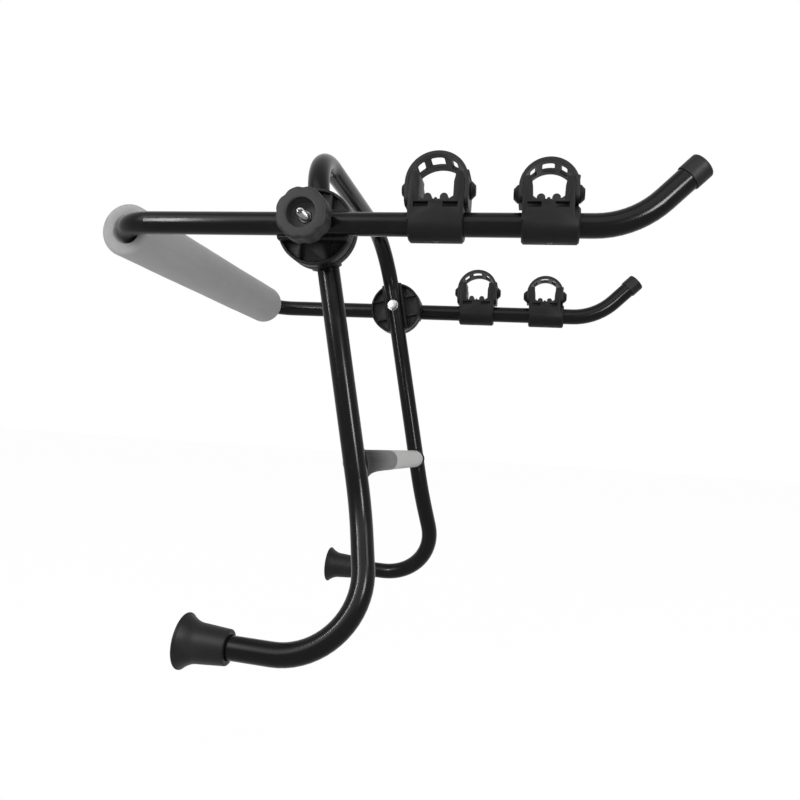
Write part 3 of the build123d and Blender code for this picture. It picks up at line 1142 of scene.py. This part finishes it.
@dataclass
class FoamBar(Assembly):
    """The foam sleeve on the arm frame's bar."""

    bar_x: float = -235 * MM
    radius: float = 31.5 * MM
    half: float = 222 * MM
    bore: float = 12.7 * MM
    mouth: float = 16.6 * MM
    mouth_shift: float = 1.0 * MM
    mouth_depth: float = 27 * MM
    mouth_round: float = 0.9 * MM
    end_round: float = 5.5 * MM
    sides: int = 96
    spans: int = 84
    swell: float = 0.55 * MM
    swells_per_metre: Triple = (18.0, 18.0, 9.0)
    dimple: float = 0.16 * MM
    dimples_per_metre: Triple = (70.0, 70.0, 34.0)
    sink: float = 0.35 * MM

    def flare(self, depth: float) -> Outline:
        """The outline of the loose mouth, wider towards the arms, where the tube starts to bend.

        Args:
            depth: how far in it lies, from 0 at the sleeve's end to 1 where the bore is snug.

        Returns:
            The radius at an angle in radians, with 0 towards the arms.
        """
        wide = self.bore + (self.mouth - self.bore) * (1 - depth)
        shift = self.mouth_shift * (1 - depth)
        if depth == 0.0:
            wide += self.mouth_round
        return lambda angle: shift * math.cos(angle) + math.sqrt(wide**2 - (shift * math.sin(angle)) ** 2)

    def build(self) -> None:
        """Models the sleeve, its soft ends and the slight unevenness of extruded foam."""
        shoulder = self.radius - self.end_round
        low = arc((shoulder, -self.half + self.end_round), self.end_round, -90, 0, 7)
        high = arc((shoulder, self.half - self.end_round), self.end_round, 0, 90, 7)
        run = self.half - self.end_round
        body = [Ring(self.radius, -run + 2 * run * step / self.spans) for step in range(1, self.spans)]
        depths = (0.0, 0.05, 0.3, 0.6, 0.85, 1.0)
        mouth = [Ring(self.flare(depth), self.half - self.mouth_depth * depth) for depth in depths]
        foot = [Ring(self.flare(depth), self.mouth_depth * depth - self.half) for depth in reversed(depths)]
        sleeve = turned("foam_bar_sleeve", low + body + high + mouth + foot, self.sides, hollow=True)
        for vertex in sleeve.data.vertices:
            point = vertex.co
            out = Vector((point.x, point.y, 0))
            if out.length > self.mouth + 3 * MM:
                slow = noise.noise(point * Vector(self.swells_per_metre))
                quick = noise.noise(point * Vector(self.dimples_per_metre) + Vector((3, 5, 7)))
                vertex.co = point + out.normalized() * (slow * self.swell + quick * self.dimple - self.sink)
        smooth(sleeve, Shade.ROUND)
        seat(sleeve, placed((self.bar_x, 0, 0), (0, 1, 0)))
        self.keep(sleeve, self.finishes.foam, "arm_frame", "foam_sleeve")


@dataclass
class RubberEnds(Assembly):
    """The rubber feet under the legs and the caps on the arm tips."""

    tip_x: float = 330 * MM
    tip_length: float = 84 * MM
    tip_angle: float = math.radians(45)
    cap_radius: float = 13.7 * MM
    cap_depth: float = 17 * MM
    cap_end: float = 3 * MM
    cap_crown: float = 2.3 * MM
    cap_lip: float = 0.7 * MM
    bore: float = 12.6 * MM
    bore_flare: float = 0.5 * MM
    foot_half: float = 267 * MM
    low_x: float = 96 * MM
    low_z: float = -449.5 * MM
    foot_run: float = 195.7 * MM
    foot_rise: float = math.radians(1.7)
    rim: float = 28.6 * MM
    neck: float = 20.3 * MM
    neck_at: float = 22 * MM
    collar: float = 18.2 * MM
    foot_length: float = 51 * MM
    foot_edge: float = 1.6 * MM
    sweep_from: float = 3.7 * MM
    sole: float = 8 * MM

    def foot(self) -> bpy.types.Object:
        """Models a foot: a wide sole that sweeps in to a tapered collar.

        Returns:
            The foot, with its sole at the origin and its collar up Z.
        """
        curl, top = self.foot_edge, self.foot_length
        edge = arc((self.rim - curl, 1.9 * MM), curl, -70, 78, 6)
        reach = self.rim - 1.1 * MM - self.neck
        sweep = []
        for step in range(1, 13):
            share = step / 12
            height = self.sweep_from + (self.neck_at - self.sweep_from) * share
            sweep.append(Ring(self.neck + reach * (1 - share) ** 2.1, height))
        taper = []
        for step in range(1, 7):
            share = step / 6
            height = self.neck_at + (top - curl - self.neck_at) * share
            taper.append(Ring(self.neck + (self.collar - self.neck) * share, height))
        lip = arc((self.collar - curl, top - curl), curl, 12, 90, 4)
        mouth = [
            Ring(self.bore + self.bore_flare, top),
            Ring(self.bore, top - 0.8 * MM),
            Ring(self.bore, self.sole),
        ]
        rings = [Ring(self.rim - 2 * curl, 0.0)] + edge + sweep + taper + lip + mouth
        return turned("foot_template", rings, 96)

    def cap(self) -> bpy.types.Object:
        """Models a tip cap: a cup with a crowned end.

        Returns:
            The cap, with the tube's end at the origin and its closed end up Z.
        """
        radius, low = self.cap_radius, -self.cap_depth
        mouth = [
            Ring(self.bore, 0.0),
            Ring(self.bore, low + 0.6 * MM),
            Ring(self.bore + self.bore_flare, low),
        ]
        lip = arc((radius - self.cap_lip, low + self.cap_lip), self.cap_lip, -90, 0, 3)
        wall = [Ring(radius, low * share) for share in (0.7, 0.4, 0.1)]
        crown = arc((radius - self.cap_crown, self.cap_end - self.cap_crown), self.cap_crown, 0, 84, 6)
        dome = [Ring(radius * 0.55, self.cap_end), Ring(radius * 0.2, self.cap_end)]
        return turned("cap_template", mouth + lip + wall + crown + dome, 72)

    def build(self) -> None:
        """Models the feet and caps and sets them on both sides."""
        foot, cap = self.foot(), self.cap()
        for piece in (foot, cap):
            soften(piece, 0.3 * MM, 2, Shade.ROUND)
        for side in Side:
            along = (math.cos(self.tip_angle), 0, math.sin(self.tip_angle))
            tip = (
                self.tip_x + self.tip_length * along[0],
                side.value * self.arm_half,
                self.tip_length * along[2],
            )
            tip_cap = copied(cap, f"tip_cap_{side.word}", placed(tip, along, (0, 1, 0)))
            self.keep(tip_cap, self.finishes.rubber, "arm_frame", f"arm_cap_{side.word}")
            face = (
                self.low_x - self.foot_run * math.cos(self.foot_rise),
                side.value * self.foot_half,
                self.low_z + self.foot_run * math.sin(self.foot_rise),
            )
            along = (math.cos(self.foot_rise), 0, -math.sin(self.foot_rise))
            shoe = copied(foot, f"bumper_foot_{side.word}", placed(face, along, (0, 1, 0)))
            self.keep(shoe, self.finishes.rubber, "leg_frame", f"foot_{side.word}")
        for piece in (foot, cap):
            bpy.data.objects.remove(piece)


@dataclass
class Hubs(Assembly):
    """The toothed hub halves, the bolts through them and the hand knobs."""

    washer: float = 1.6 * MM
    washer_gap: float = 0.3 * MM
    knob_washer_radius: float = 12 * MM
    head_washer_radius: float = 8.8 * MM
    knob_radius: float = 28 * MM
    knob_top: float = 40 * MM
    knob_neck: float = 15 * MM
    knob_neck_height: float = 4 * MM
    knob_roll: float = 2.2 * MM
    knob_crown: float = 3.6 * MM
    lobes: int = 8
    scallop: float = 1.5 * MM
    recess: float = 15.3 * MM
    recess_floor: float = 24 * MM
    recess_round: float = 1.2 * MM
    bolt_radius: float = 4 * MM
    bolt_gap: float = 0.3 * MM
    thread_root: float = 3.35 * MM
    pitch: float = 1.25 * MM
    bolt_end: float = 43 * MM
    thread_length: float = 26 * MM
    across_flats: float = 13 * MM
    head_height: float = 5.3 * MM
    nut_height: float = 6.5 * MM
    nut_face: float = 25 * MM

    def lobed(self, shrink: float = 0.0) -> Outline:
        """The knob's outline.

        Args:
            shrink: how far inside the full outline it runs.

        Returns:
            The radius at an angle in radians.
        """

        def reach(angle: float) -> float:
            """The radius of the lobed outline at an angle."""
            wave = 0.5 + 0.5 * math.cos(self.lobes * angle)
            return self.knob_radius - shrink - self.scallop * wave**3

        return reach

    def knob(self) -> bpy.types.Object:
        """Models the knob: a lobed grip on a short neck, with a round recess for the nut.

        Returns:
            The knob, with the arm's centreline at the origin and its face up Z.
        """
        base = self.tube_radius + self.washer_gap + self.washer
        under = base + self.knob_neck_height
        roll, crown = self.knob_roll, self.knob_crown
        hole, neck = self.bolt_radius + self.bolt_gap, self.knob_neck
        nut_seat = self.nut_face - self.nut_height
        rings = [Ring(hole, base), Ring(neck - 0.6 * MM, base), Ring(neck, base + 0.6 * MM)]
        rings += [Ring(neck, under - 0.8 * MM), Ring(neck + 0.8 * MM, under)]
        for step in range(5):
            turn = math.radians(90 * step / 4)
            rings.append(Ring(self.lobed(roll * (1 - math.sin(turn))), under + roll * (1 - math.cos(turn))))
        for share in (0.35, 0.7):
            rings.append(Ring(self.lobed(), under + roll + (self.knob_top - crown - under - roll) * share))
        for step in range(8):
            turn = math.radians(90 * step / 7)
            height = self.knob_top - crown * (1 - math.sin(turn))
            rings.append(Ring(self.lobed(crown * (1 - math.cos(turn))), height))
        rim, face, floor = self.recess_round, self.knob_top - 0.05 * MM, self.recess_floor
        rings.append(Ring(self.recess + 3.4 * MM, face))
        rings += arc((self.recess + rim, face - rim), rim, 90, 180, 4)
        rings += [Ring(self.recess, floor + 0.9 * MM), Ring(self.recess - 0.9 * MM, floor)]
        pocket = self.across_flats + 0.2 * MM
        rings += [Ring(hexagon(pocket + 0.6 * MM), floor), Ring(hexagon(pocket), floor - 0.4 * MM)]
        rings += [Ring(hexagon(pocket), nut_seat), Ring(hole, nut_seat)]
        knob = turned("knob_template", rings, 144, hollow=True)
        smooth(knob, Shade.CRISP)
        return knob

    def nut(self) -> bpy.types.Object:
        """Models the nut, with its corners turned off.

        Returns:
            The nut, along Z from the arm's centreline.
        """
        low, face = self.nut_face - self.nut_height, self.nut_face
        width = self.across_flats - 0.1 * MM
        full, trimmed = hexagon(width), hexagon(width, self.across_flats / 2 * 1.03)
        hole = self.bolt_radius + 0.05 * MM
        rings = [Ring(hole, low), Ring(trimmed, low), Ring(full, low + 0.8 * MM), Ring(full, face - 0.8 * MM)]
        rings += [Ring(trimmed, face), Ring(hole + 0.6 * MM, face), Ring(hole, face - 0.6 * MM)]
        return turned("nut_template", rings, 96, hollow=True)

    def ring(self, name: str, inner: float, outer: float, low: float, thick: float) -> bpy.types.Object:
        """Models a washer.

        Args:
            name: its name.
            inner: the radius of its hole.
            outer: its outer radius.
            low: the height of its lower face.
            thick: its thickness.

        Returns:
            The washer, along Z.
        """
        rings = [Ring(inner, low), Ring(outer, low), Ring(outer, low + thick), Ring(inner, low + thick)]
        return turned(name, rings, 64, hollow=True)

    def thread(self, low: float, high: float) -> bpy.types.Object:
        """Models the threaded end of the bolt as one helix.

        Args:
            low: the height it starts at.
            high: the height of the bolt's end.

        Returns:
            The threaded end, along Z.
        """
        piece = added(bpy.ops.mesh.primitive_plane_add, "bolt_thread", size=1.0)
        turns = math.ceil((high - low) / self.pitch) + 3
        start = low - 1.5 * self.pitch
        root, crest = self.thread_root, self.bolt_radius - 0.04 * MM
        profile = ((root, 0.0), (root, 0.18), (crest, 0.46), (crest, 0.6), (root, 0.9), (root, 1.0))
        with editing(piece):
            bpy.ops.mesh.select_all(action="SELECT")
            bpy.ops.mesh.merge(type="CENTER")
            mesh = bmesh.from_edit_mesh(piece.data)
            for index, (reach, share) in enumerate(profile):
                if index:
                    bpy.ops.mesh.extrude_region_move()
                    mesh = bmesh.from_edit_mesh(piece.data)
                for vertex in mesh.verts:
                    if vertex.select:
                        vertex.co = Vector((reach, 0, start + share * self.pitch))
                bmesh.update_edit_mesh(piece.data)
        helix = {"axis": "Z", "angle": FULL_TURN, "screw_offset": self.pitch, "iterations": turns}
        steps = {"steps": 40, "render_steps": 40, "use_merge_vertices": True, "merge_threshold": 0.000005}
        modify(piece, "SCREW", **helix, **steps)
        for height, above in ((low, True), (high, False)):
            cut = {"plane_co": (0, 0, height), "plane_no": (0, 0, 1), "use_fill": True}
            with editing(piece):
                bpy.ops.mesh.select_all(action="SELECT")
                bpy.ops.mesh.bisect(**cut, clear_inner=above, clear_outer=not above)
        for vertex in piece.data.vertices:
            reach = math.hypot(vertex.co.x, vertex.co.y)
            limit = self.bolt_radius - max(0.0, vertex.co.z - (high - 1.1 * MM)) * 0.9
            if reach > limit:
                vertex.co.x *= limit / reach
                vertex.co.y *= limit / reach
        merge(piece)
        face_outwards(piece)
        return piece

    def bolt(self) -> bpy.types.Object:
        """Models the bolt: a chamfered hexagon head, a plain shank and a threaded end.

        Returns:
            The bolt, along Z from the leg's centreline.
        """
        spacing = self.arm_half - self.leg_half
        top = -self.tube_radius - self.washer
        face = top - self.head_height
        corner = self.across_flats / 2 * 1.02
        full, trimmed = hexagon(self.across_flats), hexagon(self.across_flats, corner)
        step = spacing + self.bolt_end - self.thread_length
        shank = self.bolt_radius - 0.02 * MM
        rings = [Ring(corner * 0.3, face), Ring(corner * 0.92, face), Ring(trimmed, face + 0.15 * MM)]
        rings += [Ring(full, face + 0.9 * MM), Ring(full, top)]
        rings += [Ring(shank, top), Ring(shank, step - 0.5 * MM), Ring(self.thread_root, step)]
        head = turned("bolt_head", rings, 96)
        thread = self.thread(step - 0.4 * MM, spacing + self.bolt_end)
        bolt = joined([head, thread], "bolt_template")
        smooth(bolt, Shade.FINE)
        return bolt

    def build(self) -> None:
        """Models the clamping parts once and sets them, with the hub halves, on both sides."""
        above, below = self.tube_radius + self.washer_gap, -self.tube_radius - self.washer
        loose, close = self.bolt_radius + self.bolt_gap, self.bolt_radius + 0.05 * MM
        knob, nut, bolt = self.knob(), self.nut(), self.bolt()
        flange = self.ring("knob_washer_template", loose, self.knob_washer_radius, above, self.washer)
        washer = self.ring("bolt_washer_template", close, self.head_washer_radius, below, self.washer)
        for piece in (nut, flange, washer):
            soften(piece, 0.25 * MM, 2)
        for side in Side:
            word, out = side.word, (0, side.value, 0)
            arm = placed((0, side.value * self.arm_half, 0), out)
            leg = placed((0, side.value * self.leg_half, 0), out)
            knob_body, washer_body = f"{word}_hand_knob", f"{word}_clamp_washer"
            zinc, black = self.finishes.zinc, self.finishes.black_zinc
            self.keep(copied(knob, f"hand_knob_{word}", arm), self.finishes.knob, knob_body, f"knob_{word}")
            self.keep(copied(nut, f"clamp_nut_{word}", arm), black, knob_body, f"knob_nut_{word}")
            self.keep(copied(flange, f"clamp_washer_{word}", arm), zinc, washer_body, f"knob_washer_{word}")
            self.keep(copied(bolt, f"clamp_bolt_{word}", leg), zinc, "leg_frame", f"hub_bolt_{word}")
            self.keep(copied(washer, f"head_washer_{word}", leg), zinc, "leg_frame", f"bolt_washer_{word}")
            for half, body in (("outer", "arm_frame"), ("inner", "leg_frame")):
                node = f"{half}_hub_{word}"
                piece = eased(node, f"{half}_hub_half_{word}", 0.5 * MM)
                self.keep(piece, self.finishes.moulding, body, node)
        for piece in (knob, nut, bolt, flange, washer):
            bpy.data.objects.remove(piece)


@dataclass
class Cradles(Assembly):
    """The cradles on the arms: bodies, pads, screws and ladder straps."""

    length: float = 57 * MM
    depth: float = 38 * MM
    peg_height: float = 36 * MM
    arch_height: float = 38 * MM
    tail_height: float = 16 * MM
    strap_lean: float = math.radians(5)
    strap_thickness: float = 4 * MM
    strap_gap: float = 0.3 * MM
    half_hole: float = 4.5 * MM
    tail_round: float = 7 * MM
    mesh_pitch: float = 3 * MM
    peel_start: Triple = (-31 * MM, 0.0, 38 * MM)
    peel_end: Triple = (-24 * MM, 0.0, 56 * MM)
    window_width: float = 21 * MM
    window_length: float = 14.6 * MM
    side_window_length: float = 9.2 * MM
    side_window_turn: float = math.radians(36)
    window_shift: float = -2.2 * MM
    ridge_height: float = 49.5 * MM
    ridge_radius: float = 1.8 * MM
    ridge_round: float = 1 * MM
    screw_radius: float = 2 * MM
    screw_head: float = 4 * MM
    screw_head_round: float = 1.6 * MM
    screw_head_height: float = 2.2 * MM
    screw_recess: Triple = (4.4 * MM, 0.9 * MM, 2.6 * MM)
    screw_inset: float = 0.5 * MM
    screw_length: float = 9.5 * MM

    def bend_radius(self, spot: Spot) -> float:
        """The radius of the strap's middle line where it goes over a cradle."""
        return self.length / 2 * spot.share + self.strap_gap + self.strap_thickness / 2

    def along_strap(self, run: float, spot: Spot) -> tuple[Vector, Vector]:
        """A point on the strap's middle line.

        Args:
            run: the way along the strap from the top of its arch, in metres, positive towards +X.
            spot: the cradle that it goes over.

        Returns:
            The point and the outward direction there, in the cradle's frame.
        """
        radius = self.bend_radius(spot)
        arch = self.arch_height * spot.share
        turn = run / radius
        quarter = math.pi / 2
        if abs(turn) <= quarter:
            out = Vector((math.sin(turn), 0, math.cos(turn)))
            return Vector((0, 0, arch)) + out * radius, out
        side = math.copysign(1.0, run)
        drop = abs(run) - radius * quarter
        return Vector((side * radius, 0, arch - drop)), Vector((side, 0, 0))

    def layout(self, spot: Spot) -> tuple[float, list[Span], list[Span]]:
        """Where the flat strap ends and where it is cut out.

        Args:
            spot: the cradle that it goes over.

        Returns:
            Half its length, and the stretches along it of its windows and of its peg holes.
        """
        radius, share = self.bend_radius(spot), spot.share
        reach = radius * math.pi / 2 + self.arch_height * share
        tail = self.tail_height if spot is Spot.INNER else self.depth / 2 + self.strap_gap
        peg = reach - self.peg_height * share
        near, far = peg - self.half_hole, peg + self.half_hole
        centre, side = self.side_window_turn * radius, self.side_window_length
        windows = []
        for middle, length in ((-centre, side), (0.0, self.window_length), (centre, side)):
            middle += self.window_shift
            windows.append((middle - length * share / 2, middle + length * share / 2))
        return reach - tail, windows, [(-far, -near), (near, far)]

    def flat_strap(self, spot: Spot) -> bpy.types.Object:
        """Models the strap flat: a sheet with windows, peg holes and round ends, then its thickness.

        Args:
            spot: the cradle that it goes over.

        Returns:
            The strap, along X.
        """
        end, windows, holes = self.layout(spot)
        half_depth, half_window = self.depth / 2, self.window_width / 2
        cuts = sorted({round(edge, 7) for pair in windows + holes for edge in pair} | {-end, end})
        lines = []
        for low, high in zip(cuts, cuts[1:]):
            spans = max(2, round((high - low) / self.mesh_pitch))
            lines += [low + (high - low) * step / spans for step in range(spans)]
        lines.append(end)
        reaches = (half_depth, half_depth - 2.2 * MM, half_window, 6.6 * MM, self.half_hole, 1.5 * MM)
        rows = sorted({sign * reach for sign in (-1, 1) for reach in reaches})
        counts = {"x_subdivisions": len(lines) - 1, "y_subdivisions": len(rows) - 1}
        piece = added(bpy.ops.mesh.primitive_grid_add, "strap_template", **counts, size=2.0)
        across = sorted({round(v.co.x, 5) for v in piece.data.vertices})
        up = sorted({round(v.co.y, 5) for v in piece.data.vertices})
        for vertex in piece.data.vertices:
            column = min(range(len(across)), key=lambda i: abs(across[i] - vertex.co.x))
            row = min(range(len(up)), key=lambda i: abs(up[i] - vertex.co.y))
            vertex.co = Vector((lines[column], rows[row], 0))
        openings = [(*span, half_window) for span in windows] + [(*span, self.half_hole) for span in holes]
        with editing(piece) as mesh:
            bpy.ops.mesh.select_mode(type="FACE")
            for face in mesh.faces:
                x, y = face.calc_center_median().xy
                face.select_set(any(low < x < high and abs(y) < half for low, high, half in openings))
            bpy.ops.mesh.delete(type="FACE")
            mesh = bmesh.from_edit_mesh(piece.data)
            for vertex in mesh.verts:
                over = abs(vertex.co.x) - (end - self.tail_round)
                if over > 0:
                    squeeze = self.tail_round - math.sqrt(max(0.0, self.tail_round**2 - over**2))
                    share = min(1.0, abs(vertex.co.y) / half_depth)
                    vertex.co.y -= math.copysign(squeeze * share, vertex.co.y)
            bmesh.update_edit_mesh(piece.data)
        modify(piece, "SUBSURF", levels=2, render_levels=2, boundary_smooth="PRESERVE_CORNERS")
        modify(piece, "SOLIDIFY", thickness=self.strap_thickness - 0.1 * MM, offset=0.0)
        soften(piece, 0.7 * MM, 3, Shade.ROUND)
        return piece

    def strap(self, spot: Spot) -> bpy.types.Object:
        """Models the ladder strap flat, bends it into its arch and adds its thumb ridge.

        Args:
            spot: the cradle that it goes over.

        Returns:
            The strap, in the cradle's frame, leaning a little to the far side above its pegs.
        """
        share, peg_level = spot.share, self.peg_height * spot.share
        piece = self.flat_strap(spot)
        for vertex in piece.data.vertices:
            point, out = self.along_strap(vertex.co.x, spot)
            vertex.co = point + out * vertex.co.z + Vector((0, vertex.co.y, 0))
        face_outwards(piece)
        ridge = turned("thumb_ridge", self.ridge_rings(), 40)
        outer = self.bend_radius(spot) + self.strap_thickness / 2
        height = self.ridge_height * share
        lean = math.asin((height - self.arch_height * share) / outer)
        seat(ridge, placed((outer * math.cos(lean), 0, height), (0, 1, 0)))
        soften(ridge, 0.2 * MM, 2, Shade.ROUND)
        whole = joined([piece, ridge], "strap_template")
        crown = self.arch_height * share + outer
        lean_back = self.strap_lean if spot is Spot.INNER else 0.0
        for vertex in whole.data.vertices:
            rise = (vertex.co.z - peg_level) / (crown - peg_level)
            if rise > 0:
                twist = Matrix.Rotation(-lean_back * min(1.0, rise * rise * (3 - 2 * rise)), 3, "X")
                middle = Vector((vertex.co.x, 0, peg_level))
                vertex.co = middle + twist @ (vertex.co - middle)
        return whole

    def ridge_rings(self) -> list[Ring]:
        """The rings of the thumb ridge, a short rod with rounded ends.

        Returns:
            The rings, from one end to the other.
        """
        curl = self.ridge_round
        reach, height = self.ridge_radius - curl, self.depth / 2 - 1 * MM - curl
        return arc((reach, -height), curl, -80, 0, 3) + arc((reach, height), curl, 0, 80, 3)

    def screw(self) -> bpy.types.Object:
        """Models a pan-head screw with a cross recess in its head.

        Returns:
            The screw, along Z in the cradle's frame.
        """
        low = -self.depth / 2 + self.screw_inset
        high = low + self.screw_head_height
        curl, shank = self.screw_head_round, self.screw_radius
        crown = arc((self.screw_head - curl, low + curl), curl, -90, 0, 5)
        rings = [Ring(self.screw_head * 0.3, low)] + crown
        rings += [Ring(self.screw_head, high), Ring(shank, high), Ring(shank, high + self.screw_length)]
        piece = turned("screw_template", rings, 48)
        recess = Matrix.Diagonal((*self.screw_recess, 1))
        for turn in (0, math.pi / 2):
            blade = added(bpy.ops.mesh.primitive_cube_add, "recess_blade", size=1.0)
            seat(blade, Matrix.Translation((0, 0, low)) @ Matrix.Rotation(turn, 4, "Z") @ recess)
            modify(piece, "BOOLEAN", operation="DIFFERENCE", object=blade, solver="EXACT")
            bpy.data.objects.remove(blade)
        smooth(piece, Shade.FINE)
        return piece

    def build(self) -> None:
        """Models each size of cradle once and copies it to both arms."""
        screw = self.screw()
        screws = []
        for spot in Spot:
            start = Vector((spot.along, -self.arm_half, 0))
            body = eased(f"cradle_base_left_{spot.word}", "cradle_body_template", 0.6 * MM)
            pad = eased(f"cradle_pad_left_{spot.word}", "cradle_pad_template", 0.4 * MM)
            strap = self.strap(spot)
            clamp = Vector((self.length / 2 * (1 - spot.share), 0, 0))
            for side in Side:
                word = f"{side.word}_{spot.word}"
                here = Vector((spot.along, side.value * self.arm_half, 0))
                moved, fresh = Matrix.Translation(here - start), Matrix.Translation(here)
                moulding = copied(body, f"cradle_body_{word}", moved)
                self.keep(moulding, self.finishes.moulding, "arm_frame", f"cradle_base_{word}")
                rest = copied(pad, f"cradle_rest_{word}", moved)
                self.keep(rest, self.finishes.rubber, "arm_frame", f"cradle_pad_{word}")
                ladder = copied(strap, f"ladder_strap_{word}", fresh)
                self.hang(ladder, here, side, spot)
                screws.append(copied(screw, f"cradle_screw_{word}", Matrix.Translation(here + clamp)))
            for piece in (body, pad, strap):
                bpy.data.objects.remove(piece)
        fixings = joined(screws, "cradle_screw_set")
        self.keep(fixings, self.finishes.black_zinc, "arm_frame", "cradle_screws")
        bpy.data.objects.remove(screw)

    def hang(self, ladder: bpy.types.Object, here: Vector, side: Side, spot: Spot) -> None:
        """Dresses a ladder strap, hides the solid-model strap that it stands for and bakes its place into its
        mesh.

        Args:
            ladder: the strap, in its place.
            here: the middle of its cradle.
            side: the arm that it is on.
            spot: its cradle's place.
        """
        word = f"{side.word}_{spot.word}"
        self.finishes.dress(ladder, self.finishes.strap)
        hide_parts(f"cradle_strap_{word}")
        low = here + Vector(self.peel_start) * spot.share
        high = here + Vector(self.peel_end) * spot.share
        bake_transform(ladder)
        log.info("Cradles: %s blends to %s_strap", ladder.name, word)


# Camera and studio


@dataclass(frozen=True)
class Viewpoint:
    """The photograph's viewpoint, as angles and a focal length in pixels of its frame."""

    position: Triple = (0.2497, -0.9829, -0.2272)
    yaw: float = math.radians(10.953)
    pitch: float = math.radians(-3.4)
    roll: float = math.radians(-3.734)
    focal: float = 733.0
    frame: float = 800.0
    sensor: float = 36.0

    def axes(self) -> tuple[Vector, Vector, Vector]:
        """The way the camera is turned.

        Returns:
            Its right, up and forward directions.
        """
        level = Vector((math.cos(self.yaw), math.sin(self.yaw), 0))
        flat = math.cos(self.pitch)
        forward = Vector((-math.sin(self.yaw) * flat, math.cos(self.yaw) * flat, -math.sin(self.pitch)))
        down = forward.cross(level)
        right = level * math.cos(self.roll) + down * math.sin(self.roll)
        dip = down * math.cos(self.roll) - level * math.sin(self.roll)
        return right, -dip, forward

    def build(self) -> None:
        """Adds the camera and makes it the scene's."""
        right, up, forward = self.axes()
        data = bpy.data.cameras.new("viewpoint")
        data.sensor_width = self.sensor
        data.lens = self.focal / self.frame * self.sensor
        data.clip_end = 60
        camera = bpy.data.objects.new("viewpoint", data)
        bpy.context.scene.collection.objects.link(camera)
        turn = Matrix((right, up, -forward)).transposed().to_4x4()
        camera.matrix_world = Matrix.Translation(self.position) @ turn
        bpy.context.scene.camera = camera


@dataclass(frozen=True)
class Lamp:
    """A soft box: where it hangs, its size, its power and whether it only draws streaks on gloss."""

    name: str
    position: Triple
    width: float
    height: float
    power: float
    streak: bool = False
    aim: Triple = (0.02, 0.0, -0.15)

    def build(self) -> None:
        """Adds the lamp and turns it to the carrier."""
        data = bpy.data.lights.new(self.name, "AREA")
        data.shape = "RECTANGLE"
        data.size, data.size_y, data.energy = self.width, self.height, self.power
        lamp = bpy.data.objects.new(self.name, data)
        bpy.context.scene.collection.objects.link(lamp)
        lamp.visible_diffuse = not self.streak
        look = Vector(self.aim) - Vector(self.position)
        turn = look.to_track_quat("-Z", "Y").to_matrix().to_4x4()
        lamp.matrix_world = Matrix.Translation(self.position) @ turn


@dataclass(frozen=True)
class Studio:
    """A pale floor, a white surround and soft boxes."""

    floor_height: float = -0.56
    floor_size: float = 40.0
    floor_level: float = 0.92
    floor_lost: float = 0.98
    ambient: float = 0.35
    lamps: tuple[Lamp, ...] = (
        Lamp("top_box", (-0.35, -2.6, 2.05), 4.4, 2.6, 74.0),
        Lamp("left_box", (-1.7, -2.9, 1.5), 1.8, 2.0, 36.0),
        Lamp("right_box", (2.4, -1.3, 1.9), 1.0, 1.0, 36.0),
        Lamp("right_strobe", (0.61, -0.80, 0.005), 0.16, 0.20, 6.2, streak=True),
        Lamp("left_strobe", (-0.507, -0.867, 0.14), 0.045, 0.32, 6.0, streak=True),
    )

    def surround(self) -> None:
        """Makes the world white to the camera and to reflections, and soft to the rest."""
        world = bpy.data.worlds.new("white_surround")
        bpy.context.scene.world = world
        graph = Graph("", world)
        strength = self.ambient + graph.shown() * (1.0 - self.ambient)
        back = graph.node("ShaderNodeBackground", {}, {"Color": grey(1.0), "Strength": strength})
        graph.node("ShaderNodeOutputWorld", {}, {"Surface": back.outputs[0]})

    def floor(self) -> None:
        """Adds the floor, pale and almost lost in the surround, with the carrier's faint shadow."""
        spot = (0, 0, self.floor_height)
        floor = added(bpy.ops.mesh.primitive_plane_add, "studio_floor", size=self.floor_size, location=spot)
        graph = Graph("pale_studio_floor")
        matt = graph.node("ShaderNodeBsdfDiffuse", {}, {"Color": grey(self.floor_level)}).outputs[0]
        white = graph.node("ShaderNodeEmission", {}, {"Color": grey(1.0), "Strength": 1.0}).outputs[0]
        lost = graph.shown() * self.floor_lost
        surface = graph.node("ShaderNodeMixShader", {}, {0: lost, 1: matt, 2: white}).outputs[0]
        graph.node("ShaderNodeOutputMaterial", {}, {"Surface": surface})
        floor.data.materials.append(graph.material)

    def build(self) -> None:
        """Adds the surround, the floor and the lamps."""
        self.surround()
        self.floor()
        for lamp in self.lamps:
            lamp.build()


def main() -> None:
    """Builds the carrier, the camera and the studio in order."""
    logging.basicConfig(level=logging.INFO, format="%(message)s")
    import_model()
    bpy.ops.object.select_all(action="DESELECT")
    bpy.context.scene.view_settings.view_transform = "Standard"
    Viewpoint().build()
    finishes = Finishes()
    for kind in (TubeFrames, FoamBar, RubberEnds, Hubs, Cradles):
        kind(finishes).build()
    Studio().build()


if __name__ == "__main__":
    main()
